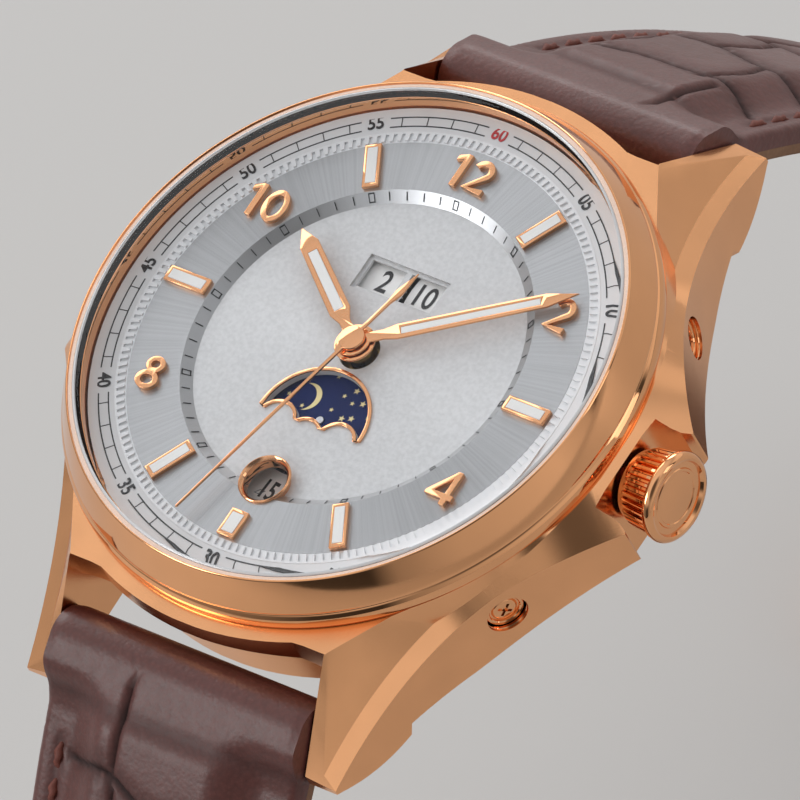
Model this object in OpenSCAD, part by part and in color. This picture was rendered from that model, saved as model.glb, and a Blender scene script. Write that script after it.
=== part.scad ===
// Automatic calendar wristwatch, standing unfastened on its strap.
// Millimetres. The dial faces +Z, twelve o'clock is +Y and the crown is +X.
// The origin is the centre of the flat outer face of the case back.

/* [Case] */
// Ledge of the case outside the bezel on the nine o'clock side
case_ledge = 0.98; // [0.7:0.02:1.4]
// Height of the case middle from its underside to its flat top
case_h = 6.75; // [6.5:0.05:7.2]
// Distance between the inner faces of a pair of lugs
lug_gap = 20.2; // [19:0.1:21]
// Length of a lug beyond the case wall
lug_l = 5.7; // [5.3:0.1:6.3]
// Width of a lug at its tip
lug_tip_w = 2.2; // [2:0.1:2.5]
// How far the shoulder beside the crown stands out past the other side
guard_out = 2; // [1.7:0.1:2.3]
// Half length of the straight stretch of that shoulder
guard_y = 3.7; // [3.5:0.1:4]
// How deep the flank is drawn in between lug tip and shoulder
flank_sag = 2; // [1.4:0.1:2.2]
// Width of the polished bevel along a lug
bevel_w = 1.15; // [0.8:0.05:1.4]
// Thickness of the case wall between the lugs
end_wall_t = 1.9; // [1.7:0.1:2.2]

/* [Bezel and crystal] */
// Width of the sloping face of the bezel
bezel_face_w = 1.4; // [1.2:0.05:1.6]
// Width of the ledge that carries the crystal
crystal_ledge_w = 0.72; // [0.6:0.02:0.9]
// Height of the bezel above the case middle
bezel_h = 3.35; // [3:0.05:3.6]
// Thickness of the crystal at its edge
crystal_edge_t = 1; // [0.8:0.05:1.2]
// Rise of the domed crystal above its edge
crystal_dome = 0.35; // [0.2:0.05:0.6]
// Wall of the ring gasket around the crystal
crystal_gasket_w = 0.3; // [0.2:0.05:0.4]

/* [Dial] */
// Radius of the sunken inner disc
step_inner_r = 10.9; // [10.6:0.05:11.2]
// Width of the conical hour step around it
step_w = 0.7; // [0.6:0.05:0.8]
// Width of the zone with the hour markers
marker_zone_w = 3.5; // [3.3:0.05:3.7]
// Width of the fluted ring
flute_w = 0.75; // [0.65:0.05:0.85]
// Width of the flange around the fluted ring
flange_w = 1.65; // [1.5:0.05:1.8]
// Thickness of the outer zone of the dial
dial_t = 0.65; // [0.6:0.05:0.7]
// Depth of the inner disc below the outer zone
dial_step = 0.55; // [0.4:0.05:0.6]
// Number of ribs on the fluted ring
flute_count = 180; // [120:12:240]
// Height of the hour markers above the dial
marker_h = 0.3; // [0.2:0.05:0.4]
// Width of a long hour marker
marker_w = 1.1; // [0.8:0.05:1.3]
// Height of the hour numerals
numeral_h = 2.4; // [2:0.1:2.6]
// Radius of the opening in the date window frame
date_hole_r = 1.42; // [1.2:0.01:1.5]
// Radius of the arched top of the moon window
moon_window_r = 3.75; // [3.4:0.05:3.8]
// Width of the day window and of the month window
calendar_window_w = 2.7; // [2.2:0.05:2.8]
// Height of the day window and of the month window
calendar_window_h = 2.05; // [1.7:0.05:2.1]

/* [Hands] */
// Length of the hour hand from the centre to its tip
hour_hand_l = 10.2; // [9.5:0.1:10.4]
// Length of the minute hand from the centre to its tip
minute_hand_l = 14.7; // [14:0.1:15]
// Length of the seconds hand from the centre to its tip
seconds_hand_l = 15.2; // [14.8:0.1:15.4]
// Width of the hour hand
hour_hand_w = 1.4; // [1:0.05:1.6]
// Width of the minute hand
minute_hand_w = 1.1; // [0.8:0.05:1.3]
// Thickness of a hand
hand_t = 0.15; // [0.12:0.01:0.16]
// Clock angle of the hour hand as shown
hour_angle = 305.5; // [300:0.5:310]
// Clock angle of the minute hand as shown
minute_angle = 55.4; // [50:0.1:60]
// Clock angle of the seconds hand as shown
seconds_angle = 194.6; // [190:0.1:200]

/* [Movement] */
// Radius of the main plate
plate_r = 15; // [14.9:0.05:15.05]
// Thickness of the main plate
plate_t = 1.2; // [1.1:0.05:1.3]
// Thickness of the bridges
bridge_t = 1; // [0.8:0.05:1]
// Outer radius of the winding rotor
rotor_r = 14.3; // [13.5:0.1:14.6]
// Height of the heavy rim of the rotor
rotor_rim_h = 1.2; // [0.9:0.05:1.2]
// Radius of the balance wheel
balance_r = 3.9; // [3.6:0.05:4]
// Turns of the hairspring
hairspring_turns = 9; // [7:1:11]

/* [Case back] */
// Radius of the window in the case back
back_window_r = 12.5; // [12:0.1:13]
// Thickness of the case back ring
back_ring_t = 1.9; // [1.8:0.05:2]
// Thickness of the case back glass
back_glass_t = 0.8; // [0.6:0.05:0.9]

/* [Crown and correctors] */
// Radius of the fluted grip of the crown
crown_grip_r = 2.65; // [2.4:0.05:2.7]
// Radius of the outer rim of the crown
crown_rim_r = 2.95; // [2.8:0.05:3]
// Number of flutes around the crown
crown_flutes = 32; // [24:2:40]
// Length of the crown from its recess wall to its end
crown_l = 3.3; // [3.1:0.1:3.7]
// Radius of a corrector pusher
pusher_r = 1.3; // [1.1:0.05:1.4]
// Distance of a corrector from the crown axis
corrector_y = 10.8; // [10.4:0.1:11.2]

/* [Strap] */
// Width of the strap at the buckle
strap_end_w = 18; // [17:0.1:18.4]
// Length of the strap half that carries the buckle
strap_12_l = 75; // [72:1:80]
// Length of the strap half with the holes
strap_6_l = 115; // [112:1:120]
// Thickness of the lining leather
lining_t = 0.8; // [0.6:0.05:1]
// Thickness of the upper leather along its edges
upper_edge_t = 1.2; // [1:0.05:1.4]
// Extra height of the padding next to the case
pad_rise = 2; // [1.4:0.1:2.2]
// Radius of the rolled strap end around a spring bar
roll_r = 2.1; // [1.9:0.05:2.2]
// Number of buckle holes
hole_count = 7; // [5:1:8]
// Distance between two buckle holes
hole_pitch = 6; // [5:0.5:6]
// Radius of a buckle hole
hole_r = 0.9; // [0.7:0.05:1]
// Width of a keeper along the strap
keeper_w = 5; // [4:0.5:6]
// Thickness of the leather of a keeper
keeper_t = 1; // [0.8:0.05:1.1]
// Space inside a keeper for the strap tail
keeper_space = 2.5; // [2.3:0.1:2.6]

/* [Buckle] */
// Length of the buckle from its bar to its outer edge
buckle_l = 13; // [12:0.5:14]
// Width of the metal of the buckle frame
buckle_rail = 2; // [1.6:0.1:2.2]
// Thickness of the buckle frame
buckle_t = 1.9; // [1.6:0.1:2]
// Width of the buckle tongue
tongue_w = 2.2; // [1.8:0.1:2.4]

/* [Hidden] */
$fn = 96;

// Colours
gold = [0.86, 0.6, 0.43];
satin_gold = [0.9, 0.68, 0.5];
silver = [0.82, 0.83, 0.84];
steel = [0.7, 0.71, 0.73];
brass = [0.8, 0.66, 0.36];
ruby = [0.75, 0.1, 0.25];
leather = [0.26, 0.12, 0.1];
lining = [0.45, 0.27, 0.17];
glass = [0.85, 0.92, 0.95, 0.35];
white = [0.95, 0.95, 0.93];
navy = [0.06, 0.1, 0.3];
rubber_black = [0.1, 0.1, 0.1];

// Radii from the dial outwards, each from the one inside it
step_outer_r = step_inner_r + step_w;
flute_inner_r = step_outer_r + marker_zone_w;
flute_outer_r = flute_inner_r + flute_w;
dial_r = flute_outer_r + flange_w;
numeral_r = step_outer_r + marker_zone_w * 0.52;
date_window_r = step_inner_r - 0.4;
opening_r = dial_r + 0.1;
bezel_lip_r = opening_r + crystal_ledge_w;
bezel_r = bezel_lip_r + bezel_face_w;
case_bore_r = dial_r - 0.2;
back_ring_r = case_bore_r + 0.3;

// Case outline in plan
case_half_w = bezel_r + case_ledge;
guard_x = case_half_w + guard_out;
end_wall_y = case_bore_r + end_wall_t;
lug_reach = end_wall_y + lug_l;
lug_tip_x = lug_gap / 2 + lug_tip_w;
recess_x = bezel_r + 0.58;
crown_end_x = recess_x + crown_l;
strap_gap = 0.15;
strap_w = lug_gap - 2 * strap_gap;

// Heights of the case, from the case back up
case_low_z = back_ring_t;
case_top_z = case_low_z + case_h;
bezel_top_z = case_top_z + bezel_h;
crystal_low_z = bezel_top_z - crystal_edge_t;
crystal_ledge_z = crystal_low_z;

// Heights of the dial side
dial_z = case_top_z + 1.1;
dial_low_z = dial_z - dial_t;
disc_z = dial_z - dial_step;
disc_low_z = disc_z - 0.4;
ring_seat_z = dial_z - 0.3;
marker_top_z = dial_z + marker_h;
hand_gap = 0.15;
hour_hand_z = dial_z + 0.25;
minute_hand_z = marker_top_z + 0.2;
seconds_hand_z = minute_hand_z + hand_t + hand_gap;

// Heights of the movement
plate_top_z = case_top_z - 1.15;
plate_low_z = plate_top_z - plate_t;
bridge_top_z = plate_low_z - 2;
bridge_low_z = bridge_top_z - bridge_t;
rotor_low_z = bridge_low_z - 0.25 - rotor_rim_h - 0.3;
calendar_t = 0.15;
date_disc_z = plate_top_z + 0.25;
small_disc_z = disc_low_z - 0.3 - calendar_t;
pivot_gap = 0.04;
arbor_r = 0.2;
pivot_r = 0.1;

// Crown and stem axis
stem_z = case_low_z + 4.05;
stem_r = 0.45;
tube_r = 1.2;
recess_half = crown_rim_r + 0.5;

// Spring bars
bar_y = lug_reach - 2.4;
bar_z = case_low_z + 2.3;
bar_tip_x = lug_gap / 2 + 0.6;
bar_r = 0.75;
bar_tip_r = 0.42;
bore_gap = 0.08;

// Lug geometry in plan: fold line between the flat top and the sloping lug facet
fold_a = [lug_gap / 2 + 0.1, end_wall_y - 0.15];
fold_b = fold_a + [2.5, -3.9];
facet_dir = [0.84, 0.54];
edge_mid_z = case_top_z - 1.6;
edge_drop = 4.4;
foot_z = case_low_z - 0.95;
foot_y = end_wall_y - 0.3;
deck_mid_t = 1.4;

// Gear train: module, teeth and places
fourth_teeth = 96;
escape_leaves = 8;
third_teeth = 80;
fourth_leaves = 10;
second_teeth = 75;
third_leaves = 10;
barrel_teeth = 84;
second_leaves = 12;
cannon_leaves = 12;
minute_teeth = 36;
minute_leaves = 10;
hour_teeth = 40;
escape_mod = 0.095;
fourth_mod = 0.112;
third_mod = 0.11;
barrel_mod = 0.16;
cannon_mod = 0.125;
hour_mod = 0.12;
escape_reach = (fourth_teeth + escape_leaves) * escape_mod / 2;
third_reach = (third_teeth + fourth_leaves) * fourth_mod / 2;
second_reach = (second_teeth + third_leaves) * third_mod / 2;
barrel_reach = (barrel_teeth + second_leaves) * barrel_mod / 2;
motion_reach = (cannon_leaves + minute_teeth) * cannon_mod / 2;
barrel_at = [-7.2, 3.4];
third_at = [0, -third_reach];
second_at = meet(third_at, second_reach, barrel_at, barrel_reach);
escape_at = escape_reach * [cos(19.6), sin(19.6)];
balance_at = [8.6, -4.6];
pallet_at = escape_at + 2.95 * unit(balance_at - escape_at);
minute_wheel_at = motion_reach * [cos(200), sin(200)];
moon_at = [0, -5];
moon_window_at = [0, -5.6];
calendar_y = 5.12;
calendar_mid_x = -0.3;
calendar_x = calendar_window_w / 2 + 0.2;
small_disc_x = calendar_x + calendar_window_w / 2 + 3.1;
small_disc_r = small_disc_x - 0.15;
moon_disc_r = 3.85;

// Strap routes: each stretch is [length, turn], the heading is degrees below level
near_12_l = 38.45;
curl_12_rate = 2.2;
route_start_12 = 42;
route_12 = [[near_12_l, 24], [strap_12_l - near_12_l, curl_12_rate * (strap_12_l - near_12_l)]];
near_6_l = 38;
curl_6_l = 57.6;
route_start_6 = 37;
route_6 = [[near_6_l, 25], [curl_6_l, 118], [strap_6_l - near_6_l - curl_6_l, 0]];
strap_steps = 30;
route_from = 1.2;
buckle_bar_r = 0.75;
strap_end_roll = 1.45;
keeper_gap = 0.3;
fixed_keeper_s = strap_12_l - 5;
free_keeper_s = fixed_keeper_s - keeper_w - 6;

// Small helpers
function unit(v) = v / norm(v);
function angle_of(v) = atan2(v[1], v[0]);
function clock(r, a) = [r * sin(a), r * cos(a)];
function meet(a, ra, b, rb) =
    let (d = norm(b - a), u = (b - a) / d,
        along = (ra * ra - rb * rb + d * d) / (2 * d),
        off = sqrt(ra * ra - along * along))
    a + along * u + off * [-u[1], u[0]];

// A point of a route: y outward from the case centre, z, and the heading
function stretch_end(p, seg, s) =
    seg[1] == 0
        ? [p[0] + s * cos(p[2]), p[1] - s * sin(p[2]), p[2]]
        : let (r = seg[0] / (seg[1] * PI / 180), h = p[2] + seg[1] * s / seg[0])
            [p[0] + r * (sin(h) - sin(p[2])), p[1] + r * (cos(h) - cos(p[2])), h];
function route_at(s, p, segs, i = 0) =
    (i == len(segs) - 1 || s <= segs[i][0])
        ? stretch_end(p, segs[i], s)
        : route_at(s - segs[i][0], stretch_end(p, segs[i], segs[i][0]), segs, i + 1);
function point_12(s) = route_at(s, [bar_y, bar_z, route_start_12], route_12);
function point_6(s) = route_at(s, [bar_y, bar_z, route_start_6], route_6);

// Strap width and padding along its length
function strap_half_w(s, l) = (strap_w + (strap_end_w - strap_w) * min(1, s / 70)) / 2;
function pad_at(s) = 0.35 + pad_rise * max(0, 1 - s / 60);

// Ring of points across the strap at one place, between two heights above the route line
function strap_ring(p, half_w, low, edge, crown) =
    let (out = [sin(p[2]), cos(p[2])])
    [for (q = [[-half_w, low], [half_w, low], [half_w, edge], [half_w - 2, edge + 0.25],
            [half_w * 0.45, crown], [-half_w * 0.45, crown], [-half_w + 2, edge + 0.25],
            [-half_w, edge]])
        [q[0], p[0] + q[1] * out[0], p[1] + q[1] * out[1]]];

// Closed skin through a list of rings with the same number of points
module skin(rings, closed = false) {
    n = len(rings[0]);
    m = len(rings);
    last = closed ? m - 1 : m - 2;
    sides = [for (i = [0 : last], j = [0 : n - 1])
        let (a = i * n + j, b = i * n + (j + 1) % n,
            c = ((i + 1) % m) * n + (j + 1) % n, d = ((i + 1) % m) * n + j)
        each [[a, b, c], [a, c, d]]];
    caps = closed ? [] : concat(
        [for (j = [1 : n - 2]) [0, j + 1, j]],
        [for (j = [1 : n - 2]) [(m - 1) * n, (m - 1) * n + j, (m - 1) * n + j + 1]]);
    polyhedron(points = [for (r = rings, p = r) p], faces = concat(sides, caps));
}

// Thick line through a list of points, as one outline
function side_step(path, i) =
    let (a = path[max(0, i - 1)], b = path[min(len(path) - 1, i + 1)], u = unit(b - a))
    [-u[1], u[0]];
function thick(path, w) = concat(
    [for (i = [0 : len(path) - 1]) path[i] + side_step(path, i) * w / 2],
    [for (i = [len(path) - 1 : -1 : 0]) path[i] - side_step(path, i) * w / 2]);
function arc(c, r, a0, a1, n) =
    [for (i = [0 : n]) c + r * [cos(a0 + (a1 - a0) * i / n), sin(a0 + (a1 - a0) * i / n)]];
function oval(c, rx, ry, n) =
    [for (i = [0 : n - 1]) c + [rx * cos(360 * i / n), ry * sin(360 * i / n)]];

// Toothed outline with one tooth centred on the X axis
function tooth_outline(teeth, mod) =
    [for (i = [0 : teeth - 1], q = [[-0.25, -1.2], [-0.1, 0.85], [0.1, 0.85], [0.25, -1.2]])
        let (a = (i + q[0]) * 360 / teeth, r = mod * (teeth / 2 + q[1]))
        [r * cos(a), r * sin(a)]];

module disc(r, z0, z1) {
    translate([0, 0, z0]) cylinder(r = r, h = z1 - z0);
}

module tube(r_out, r_in, z0, z1) {
    difference() {
        disc(r_out, z0, z1);
        disc(r_in, z0 - 1, z1 + 1);
    }
}

module pinion(teeth, mod, z0, z1) {
    translate([0, 0, z0]) linear_extrude(z1 - z0) polygon(tooth_outline(teeth, mod));
}

// Spoked wheel with a toothed rim
module spoked_wheel(teeth, mod, z0, z1, spokes) {
    rim_r = mod * (teeth / 2 - 1.2) - 0.35;
    difference() {
        pinion(teeth, mod, z0, z1);
        disc(rim_r, z0 - 1, z1 + 1);
    }
    disc(0.7, z0, z1);
    for (i = [0 : spokes - 1])
        rotate([0, 0, 360 * i / spokes])
            translate([0.4, -0.15, z0]) cube([rim_r - 0.2, 0.3, z1 - z0]);
}

// Arbor with a thin pivot at each end
module arbor(z0, z1) {
    disc(arbor_r, z0, z1);
    disc(pivot_r, z0 - 0.4, z1 + 0.4);
}

// Case middle
function flank_point(t) =
    let (a = [lug_tip_x, lug_reach], b = [guard_x, guard_y], u = unit(b - a))
    a + (b - a) * t + [u[1], -u[0]] * 4 * flank_sag * t * (1 - t);
function edge_z(y) = edge_mid_z - edge_drop * pow(max(0, (y - 10) / (lug_reach - 10)), 1.4);
function facet_z(p) =
    let (d = max(0, (p[0] - fold_a[0]) * facet_dir[0] + (p[1] - fold_a[1]) * facet_dir[1]))
    case_top_z - 0.88 * d - 0.3 * d * d;
function flank_low_z(y) =
    y > foot_y ? min(foot_z + 1.4 * pow((lug_reach - 4.3 - y) / 4.3, 2), edge_z(y) - 0.35)
        : case_low_z + 0.05 + 2.5 * pow(max(0, (14 - y) / 10.7), 1.5);

// Sections of the case wall run from the bore across the underside, up the outside and
// back over the top. Between the lugs the wall is round, under a thin deck.
function bore_point(a) = clock(case_bore_r - 0.6, a);
function base_point(a) = with_z(clock(back_ring_r + 0.15, a), case_low_z);
function with_z(p, z) = [p[0], p[1], z];
function end_section(x) =
    let (y = sqrt(end_wall_y * end_wall_y - x * x), top = case_top_z, low = case_low_z,
        deck = max(end_wall_y, sqrt(case_half_w * case_half_w - x * x)),
        deck_t = deck_mid_t + 0.85 * pow(2 * x / lug_gap, 3),
        a = 74.6 * x / lug_gap, i = bore_point(a))
    [with_z(i, low), base_point(a), [x, y - 0.5, low], [x, y, low + 0.3], [x, y, low + 2],
        [x, y, top - deck_t - 0.9], [x, deck, top - deck_t], [x, deck, top], with_z(i, top)];
function lug_wall_section() =
    let (x = lug_gap / 2, y = lug_reach, low = flank_low_z(y),
        wall_z = function (p) with_z(p, facet_z(p)))
    [with_z(bore_point(37.8), case_low_z), base_point(37.8),
        [x, y - 1.5, flank_low_z(y - 1.5)], [x, y, low],
        [x, y, max(facet_z([x, y]), low + 0.3)], wall_z([x, y - 1.5]), wall_z([x, y - 3.4]),
        [x, end_wall_y + 0.1, case_top_z], with_z(bore_point(37.8), case_top_z)];
fold_t = 0.5;
function flank_section(t, right) =
    let (e0 = flank_point(t),
        e = [min(e0[0], right ? guard_x : case_half_w), e0[1]],
        u = unit([guard_x - lug_tip_x, guard_y - lug_reach]),
        grow = bevel_w + 3.5 * pow(max(0, (t - 0.55) / 0.45), 1.5),
        c0 = e + grow * [u[1], -u[0]],
        seat_r = bezel_r - 0.45,
        c = norm(c0) < seat_r ? c0 * seat_r / norm(c0) : c0,
        ez = edge_z(e[1]),
        cz = max(min(facet_z(c), case_top_z - 0.3), ez + 0.4),
        folded = fold_b + (fold_a - fold_b) * (1 - t / fold_t),
        g = t < fold_t ? folded : c * 0.985,
        m = (g + c) / 2,
        mz = t < fold_t ? max(facet_z(m), cz) : (case_top_z + cz) / 2,
        i = bore_point(39 + 43 * t),
        low = flank_low_z(e[1]))
    [with_z(i, case_low_z), base_point(39 + 43 * t),
        with_z(e - unit(e) * 1.4, e[1] > foot_y ? low : case_low_z),
        with_z(e, low), with_z(e, ez), with_z(c, cz), with_z(m, mz),
        with_z(g, case_top_z), with_z(i, case_top_z)];

flank_steps = 16;
function quarter_sections(right) = concat(
    [for (f = [0.2 : 0.2 : 1]) end_section(f * lug_gap / 2)], [lug_wall_section()],
    [for (k = [0 : flank_steps]) flank_section(k / flank_steps, right)]);
function quarter(sx, sy, flip) =
    let (q = quarter_sections(sx > 0), n = len(q))
    [for (k = [0 : n - 1]) [for (p = q[flip ? n - 1 - k : k]) [sx * p[0], sy * p[1], p[2]]]];

module corrector_place(sy) {
    translate([case_half_w - 3.6, sy * corrector_y, stem_z - 0.95]) rotate([0, 0, sy * 31.3]) children();
}

module case_middle() color(gold) {
    difference() {
        skin(concat(quarter(1, 1, false), quarter(1, -1, true),
            quarter(-1, -1, false), quarter(-1, 1, true)), true);
        disc(case_bore_r, case_low_z - 1, case_top_z + 1);
        for (sy = [-1, 1]) {
            translate([0, sy * bar_y, bar_z]) rotate([0, 90, 0])
                disc(bar_tip_r + 0.04, -bar_tip_x - 0.05, bar_tip_x + 0.05);
            corrector_place(sy) {
                translate([-2.4, 0, 0]) rotate([0, 90, 0])
                    cylinder(r = pusher_r + 0.05, h = 4);
                translate([-0.1, 0, 0]) rotate([0, 90, 0])
                    cylinder(r = pusher_r + 0.42, h = 3);
                translate([-5, 0, 0]) rotate([0, 90, 0]) cylinder(r = 0.6, h = 4);
            }
        }
        translate([case_bore_r - 1, 0, stem_z]) rotate([0, 90, 0])
            cylinder(r = tube_r, h = recess_x - case_bore_r + 1.3);
        translate([recess_x, -recess_half, -2])
            cube([6, 2 * recess_half, 20]);
    }
}

module bezel() color(gold) {
    rotate_extrude() polygon([
        [opening_r, case_top_z], [bezel_r - 0.5, case_top_z],
        [bezel_r - 0.12, case_top_z + 0.12], [bezel_r, case_top_z + 0.35],
        [bezel_r, case_top_z + 1.1], [bezel_r - 0.05, case_top_z + 1.22],
        [bezel_lip_r + 0.12, bezel_top_z - 0.05], [bezel_lip_r + 0.06, bezel_top_z],
        [bezel_lip_r, bezel_top_z], [bezel_lip_r, crystal_ledge_z],
        [opening_r, crystal_ledge_z]]);
}

module crystal() color(glass) {
    r = bezel_lip_r - crystal_gasket_w;
    dome = r - 0.5;
    rotate_extrude() polygon(concat(
        [[0, crystal_low_z], [r, crystal_low_z], [r, bezel_top_z - 0.05],
            [dome, bezel_top_z + 0.15]],
        [for (i = [1 : 10]) let (f = 1 - i / 10)
            [dome * f, bezel_top_z + 0.15 + (crystal_dome - 0.15) * (1 - f * f)]]));
}

module crystal_gasket() color(white) {
    tube(bezel_lip_r, bezel_lip_r - crystal_gasket_w, crystal_ledge_z, bezel_top_z - 0.12);
}

// Dial
module dial_flange() color(silver) {
    rotate_extrude() polygon([
        [flute_outer_r, ring_seat_z], [dial_r, ring_seat_z], [dial_r, dial_z + 0.25],
        [flute_outer_r, dial_z + 0.1]]);
}

module fluted_ring() color(white) {
    base_top = dial_z - 0.02;
    tube(flute_outer_r, flute_inner_r, ring_seat_z, base_top);
    translate([0, 0, base_top]) linear_extrude(0.14) difference() {
        circle(r = flute_outer_r);
        polygon([for (i = [0 : flute_count - 1], q = [[-0.2, 0.1], [0.2, 0.1],
                [0.3, 0.6], [0.7, 0.6]])
            let (a = (i + q[0]) * 360 / flute_count, r = flute_inner_r + q[1])
            [r * cos(a), r * sin(a)]]);
    }
}

// The moon window outline: an arch over two domes and a small middle dome
function moon_outline(grow) =
    let (c = moon_window_at, w = moon_window_r, side = w * 0.627, low = w * 0.187)
    concat(arc(c, w + grow, -1.5, 181.5, 36),
        arc(c + [-side, -low], w * 0.387 - grow, 158, 22, 10),
        arc(c + [0, -w * 0.27], w * 0.34 - grow, 135, 45, 6),
        arc(c + [side, -low], w * 0.387 - grow, 158, 22, 10));

module calendar_windows(grow) {
    for (sx = [-1, 1])
        translate([calendar_mid_x + sx * calendar_x, calendar_y])
            square([calendar_window_w + grow, calendar_window_h + grow], center = true);
}

module dial_plate() color(silver) {
    difference() {
        rotate_extrude() polygon([
            [0, disc_low_z], [step_outer_r - 0.3, disc_low_z],
            [step_outer_r + 0.3, dial_low_z], [dial_r, dial_low_z], [dial_r, ring_seat_z],
            [flute_inner_r, ring_seat_z], [flute_inner_r, dial_z], [step_outer_r, dial_z],
            [step_inner_r, disc_z], [0, disc_z]]);
        disc(1.35, disc_low_z - 1, disc_z + 1);
        translate([0, -date_window_r, 0])
            disc(date_hole_r + 0.1, disc_low_z - 1, dial_z + 1);
        translate([0, 0, disc_low_z - 1]) linear_extrude(3) polygon(moon_outline(0));
        translate([0, 0, disc_low_z - 1]) linear_extrude(3) calendar_windows(0);
        translate([0, 0, disc_z - 0.2]) linear_extrude(1) calendar_windows(0.5);
    }
}

module marker(r0, r1, w, a) {
    rotate([0, 0, -a]) difference() {
        translate([-w / 2, r0, dial_z]) cube([w, r1 - r0, marker_h]);
        translate([-w / 2 + 0.22, r0 + 0.28, marker_top_z - 0.1])
            cube([w - 0.44, r1 - r0 - 0.56, 1]);
    }
}

module inlay(r0, r1, w, a) {
    rotate([0, 0, -a]) translate([-w / 2 + 0.22, r0 + 0.28, marker_top_z - 0.1])
        cube([w - 0.44, r1 - r0 - 0.56, 0.13]);
}

marker_r0 = step_outer_r + 0.2;
marker_r1 = flute_inner_r - 0.1;
six_marker_r0 = date_window_r + date_hole_r + 1.13;
long_markers = [30, 90, 150, 210, 270, 330];

module hour_markers() color(gold) {
    for (a = long_markers) marker(marker_r0, marker_r1, marker_w, a);
    marker(six_marker_r0, marker_r1, marker_w + 0.2, 180);
}

module lume_inlays() color(white) {
    for (a = long_markers) inlay(marker_r0, marker_r1, marker_w, a);
    inlay(six_marker_r0, marker_r1, marker_w + 0.2, 180);
}

// Digits, drawn in a box of unit height
stroke = 0.17;
module digit_1() {
    polygon([[-0.09, 0], [0.09, 0], [0.09, 1], [-0.05, 1], [-0.09, 0.96]]);
    polygon([[-0.3, 0.72], [-0.3, 0.88], [-0.05, 1], [0.05, 0.9]]);
}
module digit_2() {
    polygon(thick(concat(arc([0, 0.68], 0.24, 165, -30, 12), [[-0.27, 0.085], [0.32, 0.085]]),
        stroke));
}
module digit_4() {
    difference() {
        polygon([[0.16, 1.02], [-0.42, 0.26], [-0.42, 0.16], [0.3, 0.16], [0.3, 1.02]]);
        polygon([[0.15, 0.8], [-0.2, 0.32], [0.15, 0.32]]);
    }
    polygon([[0.13, 0], [0.3, 0], [0.3, 0.2], [0.13, 0.2]]);
    polygon([[0.28, 0.16], [0.42, 0.16], [0.42, 0.32], [0.28, 0.32]]);
}
module digit_0() {
    difference() {
        polygon(oval([0, 0.5], 0.36, 0.5, 36));
        polygon(oval([0, 0.5], 0.2, 0.34, 36));
    }
}
module digit_8() {
    difference() {
        union() {
            polygon(oval([0, 0.28], 0.34, 0.28, 32));
            polygon(oval([0, 0.75], 0.28, 0.25, 32));
        }
        polygon(oval([0, 0.28], 0.18, 0.14, 32));
        polygon(oval([0, 0.75], 0.13, 0.11, 32));
    }
}
module numeral(a, shift) {
    p = clock(numeral_r, a);
    translate([p[0] + shift * numeral_h, p[1] - numeral_h / 2, dial_z])
        linear_extrude(marker_h + 0.05) scale(numeral_h) children();
}

module hour_numerals() color(gold) {
    numeral(0, -0.34) digit_1();
    numeral(0, 0.28) digit_2();
    numeral(60, 0) digit_2();
    numeral(120, 0) digit_4();
    numeral(240, 0) digit_8();
    numeral(300, -0.36) digit_1();
    numeral(300, 0.26) digit_0();
}

module moon_window_frame() color(gold) {
    translate([0, 0, disc_z]) linear_extrude(0.15) difference() {
        polygon(moon_outline(0.25));
        polygon(moon_outline(0));
    }
}

module date_window_frame() color(gold) {
    translate([0, -date_window_r, 0]) rotate_extrude() polygon([
        [date_hole_r, disc_z - 0.25], [date_hole_r + 0.1, disc_z - 0.25],
        [date_hole_r + 0.1, dial_z], [date_hole_r + 0.32, dial_z],
        [date_hole_r + 0.32, dial_z + 0.12], [date_hole_r + 0.22, dial_z + 0.2],
        [date_hole_r, dial_z - 0.05]]);
}

// Calendar discs
module date_disc() color(white) {
    r0 = date_window_r - 1.6;
    difference() {
        disc(date_window_r + 1.9, date_disc_z, date_disc_z + calendar_t);
        translate([0, 0, date_disc_z - 1]) linear_extrude(2)
            polygon([for (i = [0 : 30], q = [[-0.2, 0], [0.2, 0], [0.25, -0.4], [0.3, 0]])
                let (a = (i + q[0]) * 360 / 31, r = r0 + q[1]) [r * cos(a), r * sin(a)]]);
    }
}

module small_disc(at, r, teeth) {
    translate([at[0], at[1], 0]) difference() {
        translate([0, 0, small_disc_z]) linear_extrude(calendar_t)
            polygon(tooth_outline(teeth, 2 * r / (teeth + 1.8)));
        disc(0.3, small_disc_z - 1, small_disc_z + 1);
    }
}

module day_disc() color(white) {
    small_disc([-small_disc_x, calendar_y], small_disc_r, 84);
}

module month_disc() color(white) {
    small_disc([small_disc_x, calendar_y], small_disc_r, 96);
}

module moon_disc() color(navy) {
    small_disc(moon_at, moon_disc_r, 59);
}

// Hands
module hand_body(a, outline, z, hub_r, bore_r) {
    rotate([0, 0, -a]) difference() {
        union() {
            translate([0, 0, z]) linear_extrude(hand_t) polygon(outline);
            disc(hub_r, z, z + hand_t);
        }
        disc(bore_r, z - 1, z + 1);
    }
}

function blade(l, w, tip, root) = [
    [-0.4, 0.5], [-0.36, root - 0.9], [-w / 2, root], [-w / 2 * 0.92, l - tip], [0, l],
    [w / 2 * 0.92, l - tip], [w / 2, root], [0.36, root - 0.9], [0.4, 0.5]];

hour_tube_r = 0.95;
cannon_r = 0.62;
second_bore_r = 0.3;
second_arbor_r = 0.22;

module hour_hand() color(gold) {
    difference() {
        hand_body(hour_angle, blade(hour_hand_l, hour_hand_w, 1.45, 2.8), hour_hand_z,
            1.35, hour_tube_r);
        rotate([0, 0, -hour_angle])
            translate([-hour_hand_w / 2 + 0.36, 2.95, hour_hand_z + 0.08])
                cube([hour_hand_w - 0.72, hour_hand_l - 5, 1]);
    }
}

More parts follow.
